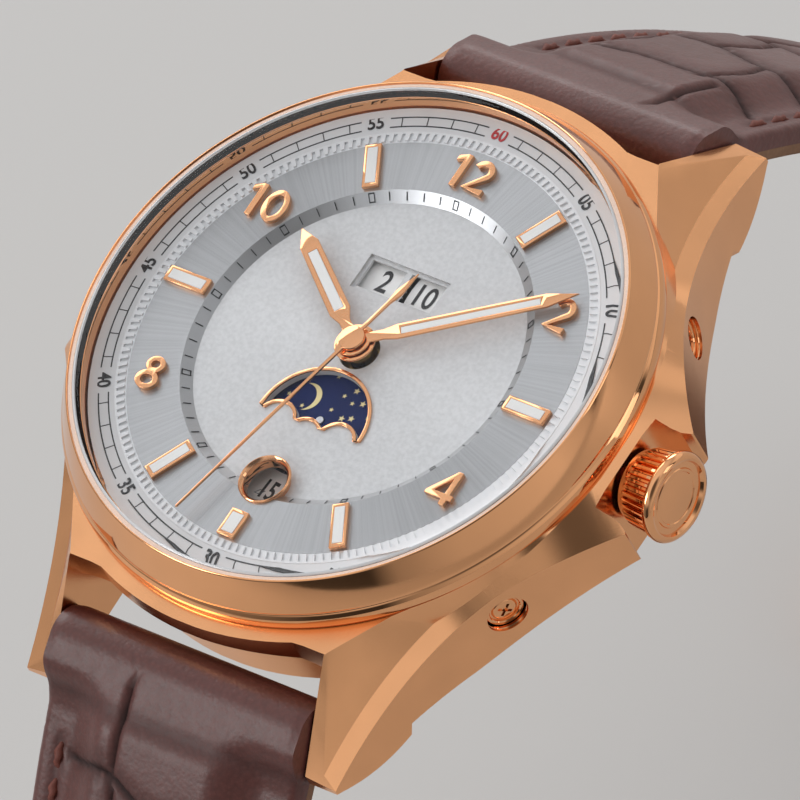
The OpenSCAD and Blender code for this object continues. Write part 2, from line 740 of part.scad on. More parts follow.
module minute_hand() color(gold) {
    difference() {
        hand_body(minute_angle, blade(minute_hand_l, minute_hand_w, 2.1, 2.85),
            minute_hand_z, 1.1, cannon_r);
        rotate([0, 0, -minute_angle])
            translate([-minute_hand_w / 2 + 0.3, 3.1, minute_hand_z + 0.08])
                cube([minute_hand_w - 0.6, minute_hand_l - 5.6, 1]);
    }
}

module seconds_hand() color(gold) {
    w = 0.26;
    rotate([0, 0, -seconds_angle]) {
        difference() {
            union() {
                translate([0, 0, seconds_hand_z]) linear_extrude(hand_t) polygon([
                    [-w / 2, 0], [-0.06, seconds_hand_l - 0.1], [0, seconds_hand_l],
                    [0.06, seconds_hand_l - 0.1], [w / 2, 0], [w / 2, -3.2],
                    [0.28, -4.1], [0, -5.8], [-0.28, -4.1], [-w / 2, -3.2]]);
                disc(0.85, seconds_hand_z - 0.05, seconds_hand_z + hand_t + 0.06);
            }
            disc(second_arbor_r, seconds_hand_z - 1, seconds_hand_z + hand_t - 0.02);
        }
    }
}

// Motion work under the dial
motion_z = plate_top_z + 0.08;
module cannon_pinion() color(steel) {
    difference() {
        union() {
            disc(cannon_r, motion_z, minute_hand_z + hand_t);
            rotate([0, 0, 200]) pinion(cannon_leaves, cannon_mod, motion_z, motion_z + 0.22);
        }
        disc(second_bore_r, motion_z - 1, minute_hand_z + hand_t + 1);
    }
}

module minute_wheel() color(brass) {
    translate([minute_wheel_at[0], minute_wheel_at[1], 0]) {
        difference() {
            rotate([0, 0, 20 + 180 / minute_teeth])
                pinion(minute_teeth, cannon_mod, motion_z, motion_z + 0.18);
            disc(0.25, motion_z - 1, motion_z + 1);
        }
        difference() {
            rotate([0, 0, 20])
                pinion(minute_leaves, hour_mod, motion_z + 0.1, motion_z + 0.5);
            disc(0.25, motion_z - 1, motion_z + 1);
        }
    }
}

module hour_wheel() color(brass) {
    z = motion_z + 0.28;
    difference() {
        union() {
            rotate([0, 0, 200 + 180 / hour_teeth]) pinion(hour_teeth, hour_mod, z, z + 0.16);
            disc(hour_tube_r, z, hour_hand_z + hand_t);
        }
        disc(cannon_r + 0.06, z - 1, hour_hand_z + hand_t + 1);
    }
}

// Main plate with the rim that carries the dial
module main_plate() color(steel) {
    difference() {
        union() {
            disc(plate_r, plate_low_z, plate_top_z);
            tube(plate_r, 14, plate_top_z, dial_low_z);
            for (p = [[-small_disc_x, calendar_y], [small_disc_x, calendar_y], moon_at])
                translate([p[0], p[1], 0]) disc(0.26, plate_top_z, small_disc_z + 0.25);
            translate([minute_wheel_at[0], minute_wheel_at[1], 0])
                disc(0.2, plate_top_z, motion_z + 0.5);
        }
        disc(second_bore_r, plate_low_z - 1, plate_top_z + 1);
        for (p = [third_at, second_at, escape_at, pallet_at, balance_at])
            translate([p[0], p[1], 0])
                disc(pivot_r + pivot_gap, plate_low_z - 0.1, plate_low_z + 0.5);
        translate([barrel_at[0], barrel_at[1], 0])
            disc(0.65, plate_low_z - 0.1, plate_low_z + 0.6);
        translate([8.6, 0, stem_z]) rotate([0, 90, 0])
            cylinder(r = 1.15, h = 8);
        for (sy = [-1, 1])
            corrector_place(sy) translate([-6.5, 0, 0]) rotate([0, 90, 0])
                cylinder(r = 0.75, h = 7);
    }
}

// Bridges stand on pillars and carry the lower pivots
pillar_r = 1;
module pillars(places) {
    for (p = places)
        translate([p[0], p[1], 0]) disc(pillar_r, bridge_top_z, plate_low_z);
}

module bridge_shape(outline, z0, z1) {
    intersection() {
        disc(plate_r - 0.3, z0, z1);
        translate([0, 0, z0]) linear_extrude(z1 - z0) polygon(outline);
    }
}

barrel_pillars = [clock(13.2, 352), clock(13.2, 258)];
train_pillars = [clock(13.2, 240), clock(13.2, 205), clock(13.2, 172), [4.3, 5.8]];
cock_pillars = [clock(13.4, 148), clock(14, 103)];
cock_pillar_r = 0.7;

module barrel_bridge() color(silver) {
    difference() {
        union() {
            bridge_shape([[-15, 15], [1.6, 15], [1.6, 2.2], [-2.6, -1.1], [-9, -1.1], [-11, -4.2],
                [-15, -4.2]],
                bridge_low_z, bridge_top_z);
            pillars(barrel_pillars);
        }
        translate([barrel_at[0], barrel_at[1], 0])
            disc(0.65, bridge_top_z - 0.5, bridge_top_z + 1);
    }
}

module train_bridge() color(silver) {
    difference() {
        union() {
            bridge_shape([[-15, -4.6], [-11, -4.6], [-9, -1.5], [-2.8, -1.5], [1.8, 2], [1.8, 7.2], [6.2, 7.2],
                [7, 1.2], [3.9, -1.6], [3.9, -15], [-15, -15]], bridge_low_z, bridge_top_z);
            pillars(train_pillars);
        }
        for (p = [[0, 0], third_at, second_at, escape_at])
            translate([p[0], p[1], 0])
                disc(pivot_r + pivot_gap, bridge_top_z - 0.5, bridge_top_z + 1);
    }
}

module pallet_bridge() color(silver) {
    z1 = plate_low_z;
    translate([pallet_at[0], pallet_at[1], 0]) rotate([0, 0, 50]) difference() {
        union() {
            translate([-0.7, -0.7, z1 - 1.25]) cube([3.9, 1.4, 0.25]);
            translate([2.1, -0.7, z1 - 1.25]) cube([1.1, 1.4, 1.25]);
        }
        disc(pivot_r + pivot_gap, z1 - 2, z1 - 0.9);
    }
}

module balance_cock() color(silver) {
    difference() {
        union() {
            bridge_shape([[4.4, -15], [6.9, -7.5], [7.4, -3.4], [9.1, -2.6], [10.6, -3.6],
                [11.8, -6], [15, -10], [15, -15]], bridge_low_z, bridge_top_z - 0.3);
            bridge_shape([[9.1, -2.6], [10.6, -3.6], [15, -4.2], [15, -1.4], [12, -1.2]],
                bridge_low_z, bridge_top_z - 0.3);
            for (p = cock_pillars)
                translate([p[0], p[1], 0]) disc(cock_pillar_r, bridge_low_z, plate_low_z);
        }
        translate([balance_at[0], balance_at[1], 0])
            disc(pivot_r + pivot_gap, bridge_low_z + 0.3, bridge_top_z + 1);
    }
}

module jewels() color(ruby) {
    for (p = [[0, 0], third_at, second_at, escape_at])
        if (norm(p) > 2.5)
            translate([p[0], p[1], 0]) tube(0.55, 0.14, bridge_low_z - 0.08, bridge_low_z);
    translate([balance_at[0], balance_at[1], 0])
        tube(0.6, 0.14, bridge_low_z - 0.08, bridge_low_z);
}

module movement_screws() color([0.25, 0.35, 0.6]) {
    for (p = concat(barrel_pillars, train_pillars, cock_pillars))
        translate([p[0], p[1], 0]) difference() {
            disc(0.65, bridge_low_z - 0.18, bridge_low_z);
            translate([-1, -0.1, bridge_low_z - 0.3]) cube([2, 0.2, 0.22]);
        }
}

// Going train
function toward(a, b) = angle_of(b - a);

module fourth_wheel() color(brass) {
    z = bridge_top_z + 0.15;
    rotate([0, 0, toward([0, 0], escape_at)])
        spoked_wheel(fourth_teeth, escape_mod, z, z + 0.15, 5);
    rotate([0, 0, toward([0, 0], third_at)])
        pinion(fourth_leaves, fourth_mod, z + 0.1, z + 0.9);
    disc(second_arbor_r, z, seconds_hand_z + hand_t - 0.02);
    disc(pivot_r, z - 0.5, z);
}

module third_wheel() color(brass) {
    z = bridge_top_z + 0.6;
    translate([third_at[0], third_at[1], 0]) {
        rotate([0, 0, toward(third_at, [0, 0]) + 180 / third_teeth])
            spoked_wheel(third_teeth, fourth_mod, z, z + 0.15, 5);
        rotate([0, 0, toward(third_at, second_at)])
            pinion(third_leaves, third_mod, plate_low_z - 0.5, plate_low_z - 0.08);
        arbor(bridge_top_z + 0.02, plate_low_z - 0.02);
    }
}

module second_wheel() color(brass) {
    z = plate_low_z - 0.38;
    translate([second_at[0], second_at[1], 0]) {
        rotate([0, 0, toward(second_at, third_at) + 180 / second_teeth])
            spoked_wheel(second_teeth, third_mod, z, z + 0.15, 4);
        rotate([0, 0, toward(second_at, barrel_at) + 180 / second_leaves])
            pinion(second_leaves, barrel_mod, z - 0.55, z + 0.2);
        arbor(bridge_top_z + 0.02, plate_low_z - 0.02);
    }
}

module mainspring_barrel() color(brass) {
    z0 = bridge_top_z + 0.45;
    z1 = plate_low_z - 0.5;
    translate([barrel_at[0], barrel_at[1], 0]) {
        disc(barrel_mod * barrel_teeth / 2 - 0.5, z0, z1 - 0.02);
        rotate([0, 0, toward(barrel_at, second_at)])
            pinion(barrel_teeth, barrel_mod, z1 - 0.3, z1 - 0.02);
        disc(0.6, bridge_top_z - 0.45, plate_low_z + 0.5);
    }
}

module escape_wheel() color(steel) {
    z = plate_low_z - 0.75;
    translate([escape_at[0], escape_at[1], 0]) {
        translate([0, 0, z]) linear_extrude(0.15) polygon(
            [for (i = [0 : 14], q = [[-0.3, 1.75], [0, 2.2], [0.12, 2.2], [0.1, 1.75]])
                let (a = (i + q[0]) * 24) [q[1] * cos(a), q[1] * sin(a)]]);
        rotate([0, 0, toward(escape_at, [0, 0]) + 180 / escape_leaves])
            pinion(escape_leaves, escape_mod, bridge_top_z + 0.05, z);
        arbor(bridge_top_z + 0.02, plate_low_z - 0.02);
    }
}

module pallet_fork() color(steel) {
    z = plate_low_z - 0.75;
    a = toward(pallet_at, escape_at);
    translate([pallet_at[0], pallet_at[1], 0]) rotate([0, 0, a]) {
        translate([0, 0, z]) linear_extrude(0.15) {
            polygon([[-0.25, -1.6], [0.35, -1.75], [0.62, -1.7], [0.62, -1.35], [0.3, -1.3],
                [0.3, 1.3], [0.62, 1.35], [0.62, 1.7], [0.35, 1.75], [-0.25, 1.6]]);
            polygon([[0, -0.22], [-2.4, -0.12], [-2.9, -0.4], [-3, -0.3], [-2.6, 0],
                [-3, 0.3], [-2.9, 0.4], [-2.4, 0.12], [0, 0.22]]);
        }
        disc(0.16, plate_low_z - 0.95, plate_low_z - 0.02);
        disc(pivot_r, plate_low_z - 1.2, plate_low_z + 0.4);
    }
}

module balance_wheel() color(brass) {
    z = bridge_top_z + 0.25;
    translate([balance_at[0], balance_at[1], 0]) {
        tube(balance_r, balance_r - 0.5, z, z + 0.4);
        for (i = [0 : 1])
            rotate([0, 0, 45 + 90 * i]) translate([-balance_r + 0.3, -0.2, z])
                cube([2 * balance_r - 0.6, 0.4, 0.2]);
        disc(0.55, z, z + 0.3);
        disc(0.22, bridge_top_z - 0.25, plate_low_z - 0.02);
        disc(pivot_r, bridge_top_z - 0.6, plate_low_z + 0.4);
    }
}

module hairspring() color([0.2, 0.3, 0.6]) {
    n = 20 * hairspring_turns;
    pitch = 0.24;
    translate([balance_at[0], balance_at[1], bridge_top_z - 0.05]) {
        linear_extrude(0.18)
            polygon(thick([for (i = [0 : n]) let (a = i * 18, r = 0.4 + pitch * i / 20)
                [r * cos(a), r * sin(a)]], 0.06));
        linear_extrude(0.2) difference() {
            circle(r = 0.45);
            circle(r = 0.23);
        }
    }
}

// Winding rotor on its ball bearing
rotor_bore_r = 1.9;
module rotor() color(silver) {
    web_z = bridge_low_z - 0.25 - 0.35;
    rotate([0, 0, 30]) difference() {
        union() {
            intersection() {
                union() {
                    tube(rotor_r, rotor_r - 3.2, rotor_low_z + 0.1, web_z + 0.25);
                    tube(rotor_r - 3, 2.2, web_z, web_z + 0.25);
                }
                translate([-20, -20, 0]) cube([40, 20, 10]);
            }
            disc(3, web_z - 0.2, web_z + 0.25);
        }
        disc(rotor_bore_r, 0, 10);
        for (a = [-135, -45])
            rotate([0, 0, a]) translate([6.6, 0, 0]) disc(1.7, 0, 10);
    }
}

module rotor_bearing() color(steel) {
    web_z = bridge_low_z - 0.6;
    disc(rotor_bore_r - 0.06, web_z - 0.25, bridge_low_z);
    difference() {
        disc(1.2, web_z - 0.45, web_z - 0.25);
        translate([-2, -0.15, web_z - 0.55]) cube([4, 0.3, 0.2]);
    }
}

// Holder between the movement and the case
module movement_ring() color(steel) {
    difference() {
        tube(case_bore_r - 0.05, plate_r + 0.03, case_low_z + 1.5, dial_low_z);
        translate([14, 0, stem_z]) rotate([0, 90, 0]) cylinder(r = tube_r + 0.1, h = 5);
        for (sy = [-1, 1])
            corrector_place(sy) translate([-6, 0, 0]) rotate([0, 90, 0])
                cylinder(r = 0.75, h = 7);
    }
}

// Case back
thread_r = case_bore_r - 0.05;
module case_back_ring() color(gold) {
    difference() {
        rotate_extrude() polygon([
            [back_window_r + 0.5, 0], [back_ring_r - 1.4, 0], [back_ring_r - 0.2, 0.7],
            [back_ring_r, 1.1], [back_ring_r, back_ring_t], [thread_r, back_ring_t], [thread_r, back_ring_t + 1.4],
            [thread_r - 0.9, back_ring_t + 1.4], [thread_r - 0.9, back_glass_t + 0.5],
            [back_window_r, back_glass_t + 0.5], [back_window_r, back_glass_t],
            [back_window_r + 0.5, back_glass_t]]);
        for (i = [0 : 5])
            rotate([0, 0, 60 * i + 30]) translate([back_ring_r - 1.9, -1, -0.5])
                cube([3, 2, 1.2]);
    }
}

module case_back_glass() color(glass) {
    disc(back_window_r + 0.3, 0, back_glass_t);
}

module case_back_gasket() color(rubber_black) {
    tube(back_window_r + 0.5, back_window_r + 0.3, 0.05, back_glass_t);
}

// Crown, tube and stem
module crown_tube() color(gold) {
    translate([0, 0, stem_z]) rotate([0, 90, 0])
        tube(tube_r, stem_r + 0.06, case_bore_r + 0.1, recess_x + 1.2);
}

crown_start_x = recess_x + 0.25;
module crown() color(gold) {
    translate([0, 0, stem_z]) rotate([0, 90, 0]) difference() {
        union() {
            disc(crown_grip_r - 0.45, crown_start_x, crown_start_x + 1);
            translate([0, 0, crown_start_x + 0.4])
                linear_extrude(crown_end_x - 0.75 - crown_start_x - 0.4)
                polygon([for (i = [0 : crown_flutes - 1], q = [[-0.3, 0], [-0.16, 0.16],
                        [0.16, 0.16], [0.3, 0]])
                    let (a = (i + q[0]) * 360 / crown_flutes, r = crown_grip_r - 0.16 + q[1])
                    [r * cos(a), r * sin(a)]]);
            rotate_extrude() polygon([
                [0, crown_end_x - 0.86], [crown_grip_r - 0.33, crown_end_x - 0.86],
                [crown_rim_r - 0.1, crown_end_x - 0.7], [crown_rim_r, crown_end_x - 0.58],
                [crown_rim_r, crown_end_x - 0.3], [crown_rim_r - 0.18, crown_end_x - 0.08],
                [crown_rim_r - 0.42, crown_end_x], [crown_rim_r - 0.62, crown_end_x - 0.14],
                [1, crown_end_x - 0.1], [0, crown_end_x - 0.1]]);
        }
        disc(tube_r + 0.55, crown_start_x - 1, recess_x + 1.9);
        disc(stem_r + 0.05, crown_start_x - 1, crown_end_x - 0.9);
    }
}

module crown_gasket() color(rubber_black) {
    translate([0, 0, stem_z]) rotate([0, 90, 0])
        tube(tube_r + 0.53, tube_r + 0.04, crown_start_x + 0.15, crown_start_x + 0.75);
}

module winding_stem() color(steel) {
    translate([0, 0, stem_z]) rotate([0, 90, 0]) {
        disc(stem_r, 10.4, crown_end_x - 1);
        disc(0.8, 11.2, 12.2);
        disc(1, 12.6, 13.3);
        disc(0.3, 9.4, 10.4);
    }
}

// Corrector pushers lie flush in the flank and reach through the wall
module corrector(sy) {
    corrector_place(sy) rotate([0, 90, 0]) {
        difference() {
            disc(pusher_r, -1.6, -0.2);
            for (s = [-1, 1]) translate([s * 0.5, 0, 0]) disc(0.38, -0.36, 0);
            translate([-0.5, -0.14, -0.32]) cube([1, 0.28, 1]);
        }
        disc(0.5, -5.2, -1.6);
    }
}

module corrector_2() color(gold) corrector(1);
module corrector_4() color(gold) corrector(-1);

// Strap
module spring_bars() color(steel) {
    for (sy = [-1, 1])
        translate([0, sy * bar_y, bar_z]) rotate([0, 90, 0]) {
            disc(bar_r, -lug_gap / 2 + 0.2, lug_gap / 2 - 0.2);
            disc(bar_tip_r, -bar_tip_x, bar_tip_x);
        }
}

function upper_rings(l, from, is_12) = [for (i = [0 : strap_steps])
    let (s = from + (l - from) * i / strap_steps,
        p = is_12 ? point_12(s) : point_6(s),
        tip = is_12 ? 1 : sqrt(max(0.04, 1 - pow(max(0, (s - l + 11) / 11), 2.4))),
        w = strap_half_w(s, l) * tip,
        flat = is_12 ? min(1, max(0, (l - s) / 6)) : min(1, max(0, (l - s) / 12)))
    strap_ring(p, max(w, 2.4), -0.3, upper_edge_t - 0.3,
        upper_edge_t - 0.3 + 0.26 + pad_at(s) * flat)];
function lining_rings(l, from, is_12) = [for (i = [0 : strap_steps])
    let (s = from + (l - from) * i / strap_steps,
        p = is_12 ? point_12(s) : point_6(s),
        tip = is_12 ? 1 : sqrt(max(0.04, 1 - pow(max(0, (s - l + 11) / 11), 2.4))),
        w = max(strap_half_w(s, l) * tip, 2.4),
        out = [sin(p[2]), cos(p[2])])
    [for (q = [[-w, -0.3 - lining_t], [w, -0.3 - lining_t], [w, -0.3], [-w, -0.3]])
        [q[0], p[0] + q[1] * out[0], p[1] + q[1] * out[1]]]];

module across(y, z) {
    translate([0, y, z]) rotate([0, 90, 0]) children();
}

end_12 = point_12(strap_12_l);
module strap_12_upper() color(leather) {
    difference() {
        union() {
            skin(upper_rings(strap_12_l, route_from, true));
            across(bar_y, bar_z) disc(roll_r, -strap_w / 2, strap_w / 2);
            across(end_12[0], end_12[1]) disc(strap_end_roll, -strap_end_w / 2, strap_end_w / 2);
        }
        across(bar_y, bar_z) disc(bar_r + bore_gap, -15, 15);
        across(end_12[0], end_12[1]) disc(buckle_bar_r + bore_gap, -15, 15);
        tongue_slot();
    }
}

module strap_12_lining() color(lining) {
    difference() {
        skin(lining_rings(strap_12_l, route_from, true));
        across(bar_y, bar_z) disc(roll_r, -15, 15);
        across(end_12[0], end_12[1]) disc(strap_end_roll, -15, 15);
        tongue_slot();
    }
}

module mirror_y() {
    mirror([0, 1, 0]) children();
}

first_hole_s = strap_6_l - 28 - (hole_count - 1) * hole_pitch;
module buckle_holes() {
    for (i = [0 : hole_count - 1]) {
        p = point_6(first_hole_s + i * hole_pitch);
        translate([0, p[0], p[1]]) rotate([p[2] - 180, 0, 0])
            cylinder(r = hole_r, h = 8, center = true);
    }
}

module strap_6_upper() color(leather) mirror_y() {
    difference() {
        union() {
            skin(upper_rings(strap_6_l, route_from, false));
            across(bar_y, bar_z) disc(roll_r, -strap_w / 2, strap_w / 2);
        }
        across(bar_y, bar_z) disc(bar_r + bore_gap, -15, 15);
        buckle_holes();
    }
}

module strap_6_lining() color(lining) mirror_y() {
    difference() {
        skin(lining_rings(strap_6_l, route_from, false));
        across(bar_y, bar_z) disc(roll_r, -15, 15);
        buckle_holes();
    }
}

// Place children in the frame of the buckle strap: Z outward, Y along the strap
module on_strap_12(s) {
    p = point_12(s);
    translate([0, p[0], p[1]]) rotate([-p[2], 0, 0]) children();
}

module keeper(inner_w) {
    low = -0.3 - lining_t - keeper_gap;
    high = upper_edge_t + 0.35 + keeper_gap + keeper_space;
    difference() {
        translate([-inner_w / 2 - keeper_t, -keeper_w / 2, low - keeper_t])
            cube([inner_w + 2 * keeper_t, keeper_w, high - low + 2 * keeper_t]);
        translate([-inner_w / 2, -keeper_w, low]) cube([inner_w, 2 * keeper_w, high - low]);
    }
}

module fixed_keeper() color(leather) {
    on_strap_12(fixed_keeper_s) keeper(strap_end_w + 0.3);
}

module free_keeper() color(leather) {
    on_strap_12(free_keeper_s) keeper(strap_end_w + 0.7);
}

// Buckle
buckle_in_w = strap_end_w + 0.5;
module on_buckle() {
    on_strap_12(strap_12_l) children();
}

module tongue_slot() {
    on_buckle() translate([-tongue_w / 2 - 0.3, -3, -4]) cube([tongue_w + 0.6, 8, 8]);
}

// Flat outline with round corners at its far side
module far_rounded(half_w, y0, y1, r) {
    translate([-half_w, y0]) square([2 * half_w, y1 - r - y0]);
    translate([-half_w + r, y0]) square([2 * (half_w - r), y1 - y0]);
    for (sx = [-1, 1]) translate([sx * (half_w - r), y1 - r]) circle(r = r);
}

module buckle_frame() color(gold) {
    side_x = buckle_in_w / 2;
    on_buckle() difference() {
        translate([0, 0, -buckle_t / 2]) linear_extrude(buckle_t) difference() {
            far_rounded(side_x + buckle_rail, -1.2, buckle_l, 2.8);
            far_rounded(side_x, -3, buckle_l - buckle_rail, 1.2);
        }
        across(0, 0) disc(buckle_bar_r + 0.02, -side_x - 1.2, side_x + 1.2);
        translate([-tongue_w / 2 - 0.1, buckle_l - buckle_rail - 1, buckle_t / 2 - 0.45])
            cube([tongue_w + 0.2, buckle_rail + 2, 1]);
    }
}

module buckle_bar() color(steel) {
    on_buckle() across(0, 0) disc(buckle_bar_r, -buckle_in_w / 2 - 1.1, buckle_in_w / 2 + 1.1);
}

module buckle_tongue() color(gold) {
    on_buckle() difference() {
        union() {
            across(0, 0) disc(buckle_bar_r + 0.55, -tongue_w / 2, tongue_w / 2);
            translate([-tongue_w / 2, 0.4, buckle_t / 2 - 0.4])
                cube([tongue_w, buckle_l - 0.7, 0.75]);
        }
        across(0, 0) disc(buckle_bar_r + 0.05, -2, 2);
    }
}

case_middle();
bezel();
crystal();
crystal_gasket();
dial_flange();
fluted_ring();
dial_plate();
hour_markers();
hour_numerals();
lume_inlays();
moon_window_frame();
date_window_frame();
movement_ring();
main_plate();
barrel_bridge();
train_bridge();
pallet_bridge();
balance_cock();
jewels();
movement_screws();
case_back_ring();
case_back_glass();
case_back_gasket();
crown_tube();
crown();
crown_gasket();
winding_stem();
corrector_2();
corrector_4();
hour_hand();
minute_hand();
seconds_hand();
hour_wheel();
cannon_pinion();
minute_wheel();
fourth_wheel();
third_wheel();
second_wheel();
mainspring_barrel();
escape_wheel();
pallet_fork();
balance_wheel();
hairspring();
rotor();
rotor_bearing();
date_disc();
day_disc();
month_disc();
moon_disc();
spring_bars();
strap_12_upper();
strap_12_lining();
strap_6_upper();
strap_6_lining();
fixed_keeper();
free_keeper();
buckle_frame();
buckle_tongue();
buckle_bar();
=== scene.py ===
"""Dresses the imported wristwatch: metal finishes, printed dial, padded leather strap and the studio."""

from __future__ import annotations

import logging
import math
import random
from dataclasses import dataclass, field
from enum import Enum
from typing import Callable, Iterable, Sequence

import bmesh
import bpy
from mathutils import Matrix, Vector, noise


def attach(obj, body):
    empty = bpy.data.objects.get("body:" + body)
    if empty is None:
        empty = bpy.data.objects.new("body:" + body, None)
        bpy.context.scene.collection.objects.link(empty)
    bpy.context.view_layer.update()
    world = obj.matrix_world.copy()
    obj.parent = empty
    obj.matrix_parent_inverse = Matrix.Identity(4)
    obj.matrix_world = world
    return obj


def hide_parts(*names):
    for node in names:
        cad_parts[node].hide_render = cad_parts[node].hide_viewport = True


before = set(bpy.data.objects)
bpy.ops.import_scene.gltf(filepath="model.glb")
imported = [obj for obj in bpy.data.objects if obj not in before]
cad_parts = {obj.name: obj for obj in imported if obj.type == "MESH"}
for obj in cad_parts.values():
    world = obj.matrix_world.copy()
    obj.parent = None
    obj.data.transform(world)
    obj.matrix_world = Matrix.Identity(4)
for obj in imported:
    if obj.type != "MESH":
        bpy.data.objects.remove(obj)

LOG = logging.getLogger("watch")
MM = 0.001
Point = tuple[float, float, float]
Flat = tuple[float, float]
Band = tuple[list[Point], list[tuple[int, ...]]]

# Both correctors stand here, mirrored, and point away from the middle at this angle
CORRECTOR_X = 17.1
CORRECTOR_Y = 10.8
CORRECTOR_TURN = 31.3

# Depth in metres of the grain in metal and paint, and the spread of a paint's roughness
GRAIN_DEPTH = 0.00002
PAINT_SPREAD = 0.08


class Body(str, Enum):
    """Names of the moving bodies that new pieces ride on."""

    HEAD = "head"
    HOURS = "hour_work"
    MINUTES = "minute_work"
    SECONDS = "seconds_work"
    DATE = "date_body"
    DAY = "day_body"
    MONTH = "month_body"
    MOON = "moon_body"
    CROWN = "crown_body"
    PUSHER_2 = "pusher_2"
    PUSHER_4 = "pusher_4"
    STRAP_12 = "strap_12"
    STRAP_6 = "strap_6"
    KEEPER = "keeper_loop"
    BUCKLE = "buckle"
    TONGUE = "tongue"


# Small geometry helpers


def clock(radius: float, degrees: float) -> Flat:
    """Point at a clockwise angle from twelve o'clock."""
    a = math.radians(degrees)
    return radius * math.sin(a), radius * math.cos(a)


def spin_flat(p: Flat, degrees: float) -> Flat:
    """Turns a flat point clockwise about the centre."""
    a = math.radians(-degrees)
    return p[0] * math.cos(a) - p[1] * math.sin(a), p[0] * math.sin(a) + p[1] * math.cos(a)


def mark_sharp(mesh: bpy.types.Mesh, degrees: float) -> None:
    """Shades a mesh smooth and keeps its edges sharper than an angle.

    Args:
        mesh: the mesh to shade.
        degrees: edges with a larger angle between their faces stay sharp.
    """
    bm = bmesh.new()
    bm.from_mesh(mesh)
    limit = math.radians(degrees)
    for face in bm.faces:
        face.smooth = True
    for edge in bm.edges:
        edge.smooth = not (len(edge.link_faces) == 2 and edge.calc_face_angle(0.0) > limit)
    bm.to_mesh(mesh)
    bm.free()


def build_mesh(name: str, verts: Sequence[Sequence[float]], faces: Sequence[Sequence[int]],
               degrees: float = 35.0) -> bpy.types.Object:
    """Makes an object from points in millimetres.

    Args:
        name: the object's name.
        verts: points in millimetres.
        faces: vertex loops.
        degrees: the angle above which edges stay sharp.

    Returns:
        The new object, linked to the scene.
    """
    mesh = bpy.data.meshes.new(name)
    mesh.from_pydata([tuple(c * MM for c in v) for v in verts], [], [tuple(f) for f in faces])
    bm = bmesh.new()
    bm.from_mesh(mesh)
    bmesh.ops.remove_doubles(bm, verts=bm.verts, dist=1e-7)
    bmesh.ops.recalc_face_normals(bm, faces=bm.faces)
    bm.to_mesh(mesh)
    bm.free()
    mark_sharp(mesh, degrees)
    obj = bpy.data.objects.new(name, mesh)
    bpy.context.scene.collection.objects.link(obj)
    return obj


def lathe(name: str, profile: Sequence[Flat], segments: int = 192, centre: Point = (0.0, 0.0, 0.0),
          degrees: float = 35.0) -> bpy.types.Object:
    """Revolves a closed profile of (radius, height) about Z.

    Args:
        name: the object's name.
        profile: closed outline, in millimetres.
        segments: steps around.
        centre: where the axis stands.
        degrees: the angle above which edges stay sharp.

    Returns:
        The revolved object.
    """
    n = len(profile)
    verts = []
    for i in range(segments):
        a = 2 * math.pi * i / segments
        for r, z in profile:
            verts.append((centre[0] + r * math.cos(a), centre[1] + r * math.sin(a), centre[2] + z))
    faces = []
    for i in range(segments):
        j = (i + 1) % segments
        for k in range(n):
            m = (k + 1) % n
            faces.append((i * n + k, j * n + k, j * n + m, i * n + m))
    return build_mesh(name, verts, faces, degrees)


def rounded(profile: Sequence[Flat], radius: float, steps: int = 4) -> list[Flat]:
    """Rounds the corners of a closed profile.

    Args:
        profile: closed outline.
        radius: the largest distance that a corner gives up along each side.
        steps: points along each rounded corner.

    Returns:
        The outline with its corners replaced by short curves.
    """
    out: list[Flat] = []
    n = len(profile)
    for i, p in enumerate(profile):
        a, b = Vector(profile[i - 1]), Vector(profile[(i + 1) % n])
        c = Vector(p)
        ra = min(radius, (a - c).length * 0.45)
        rb = min(radius, (b - c).length * 0.45)
        p0, p1 = c + (a - c).normalized() * ra, c + (b - c).normalized() * rb
        for k in range(steps + 1):
            t = k / steps
            q = p0 * (1 - t) ** 2 + c * 2 * t * (1 - t) + p1 * t * t
            out.append((q.x, q.y))
    return out


def slab(name: str, outline: Sequence[Flat], z0: float, z1: float, bevel: float = 0.0,
         degrees: float = 35.0) -> bpy.types.Object:
    """Extrudes a flat outline between two heights.

    Args:
        name: the object's name.
        outline: closed outline in millimetres.
        z0: lower height.
        z1: upper height.
        bevel: inset and drop of a small chamfer round the top.
        degrees: the angle above which edges stay sharp.

    Returns:
        The extruded object.
    """
    n = len(outline)
    rings = [(0.0, z0), (0.0, z1)] if bevel <= 0 else [(0.0, z0), (0.0, z1 - bevel), (bevel, z1)]
    clockwise = signed_area(outline) < 0
    verts: list[Point] = []
    for inset, z in rings:
        for i in range(n):
            p, a, b = Vector(outline[i]), Vector(outline[i - 1]), Vector(outline[(i + 1) % n])
            if inset:
                d1, d2 = (p - a).normalized(), (b - p).normalized()
                n1, n2 = Vector((-d1.y, d1.x)), Vector((-d2.y, d2.x))
                inward = n1 + n2
                inward = inward.normalized() * (1 / max(0.4, inward.length / 2))
                p = p + (-inward if clockwise else inward) * inset
            verts.append((p.x, p.y, z))
    faces: list[tuple[int, ...]] = []
    for r in range(len(rings) - 1):
        for i in range(n):
            j = (i + 1) % n
            faces.append((r * n + i, r * n + j, (r + 1) * n + j, (r + 1) * n + i))
    faces.append(tuple(range(n - 1, -1, -1)))
    top = (len(rings) - 1) * n
    faces.append(tuple(top + i for i in range(n)))
    return build_mesh(name, verts, faces, degrees)


def signed_area(outline: Sequence[Flat]) -> float:
    """Signed area of a closed outline, positive when it runs anticlockwise."""
    return sum(a[0] * b[1] - b[0] * a[1] for a, b in zip(outline, list(outline[1:]) + [outline[0]])) / 2


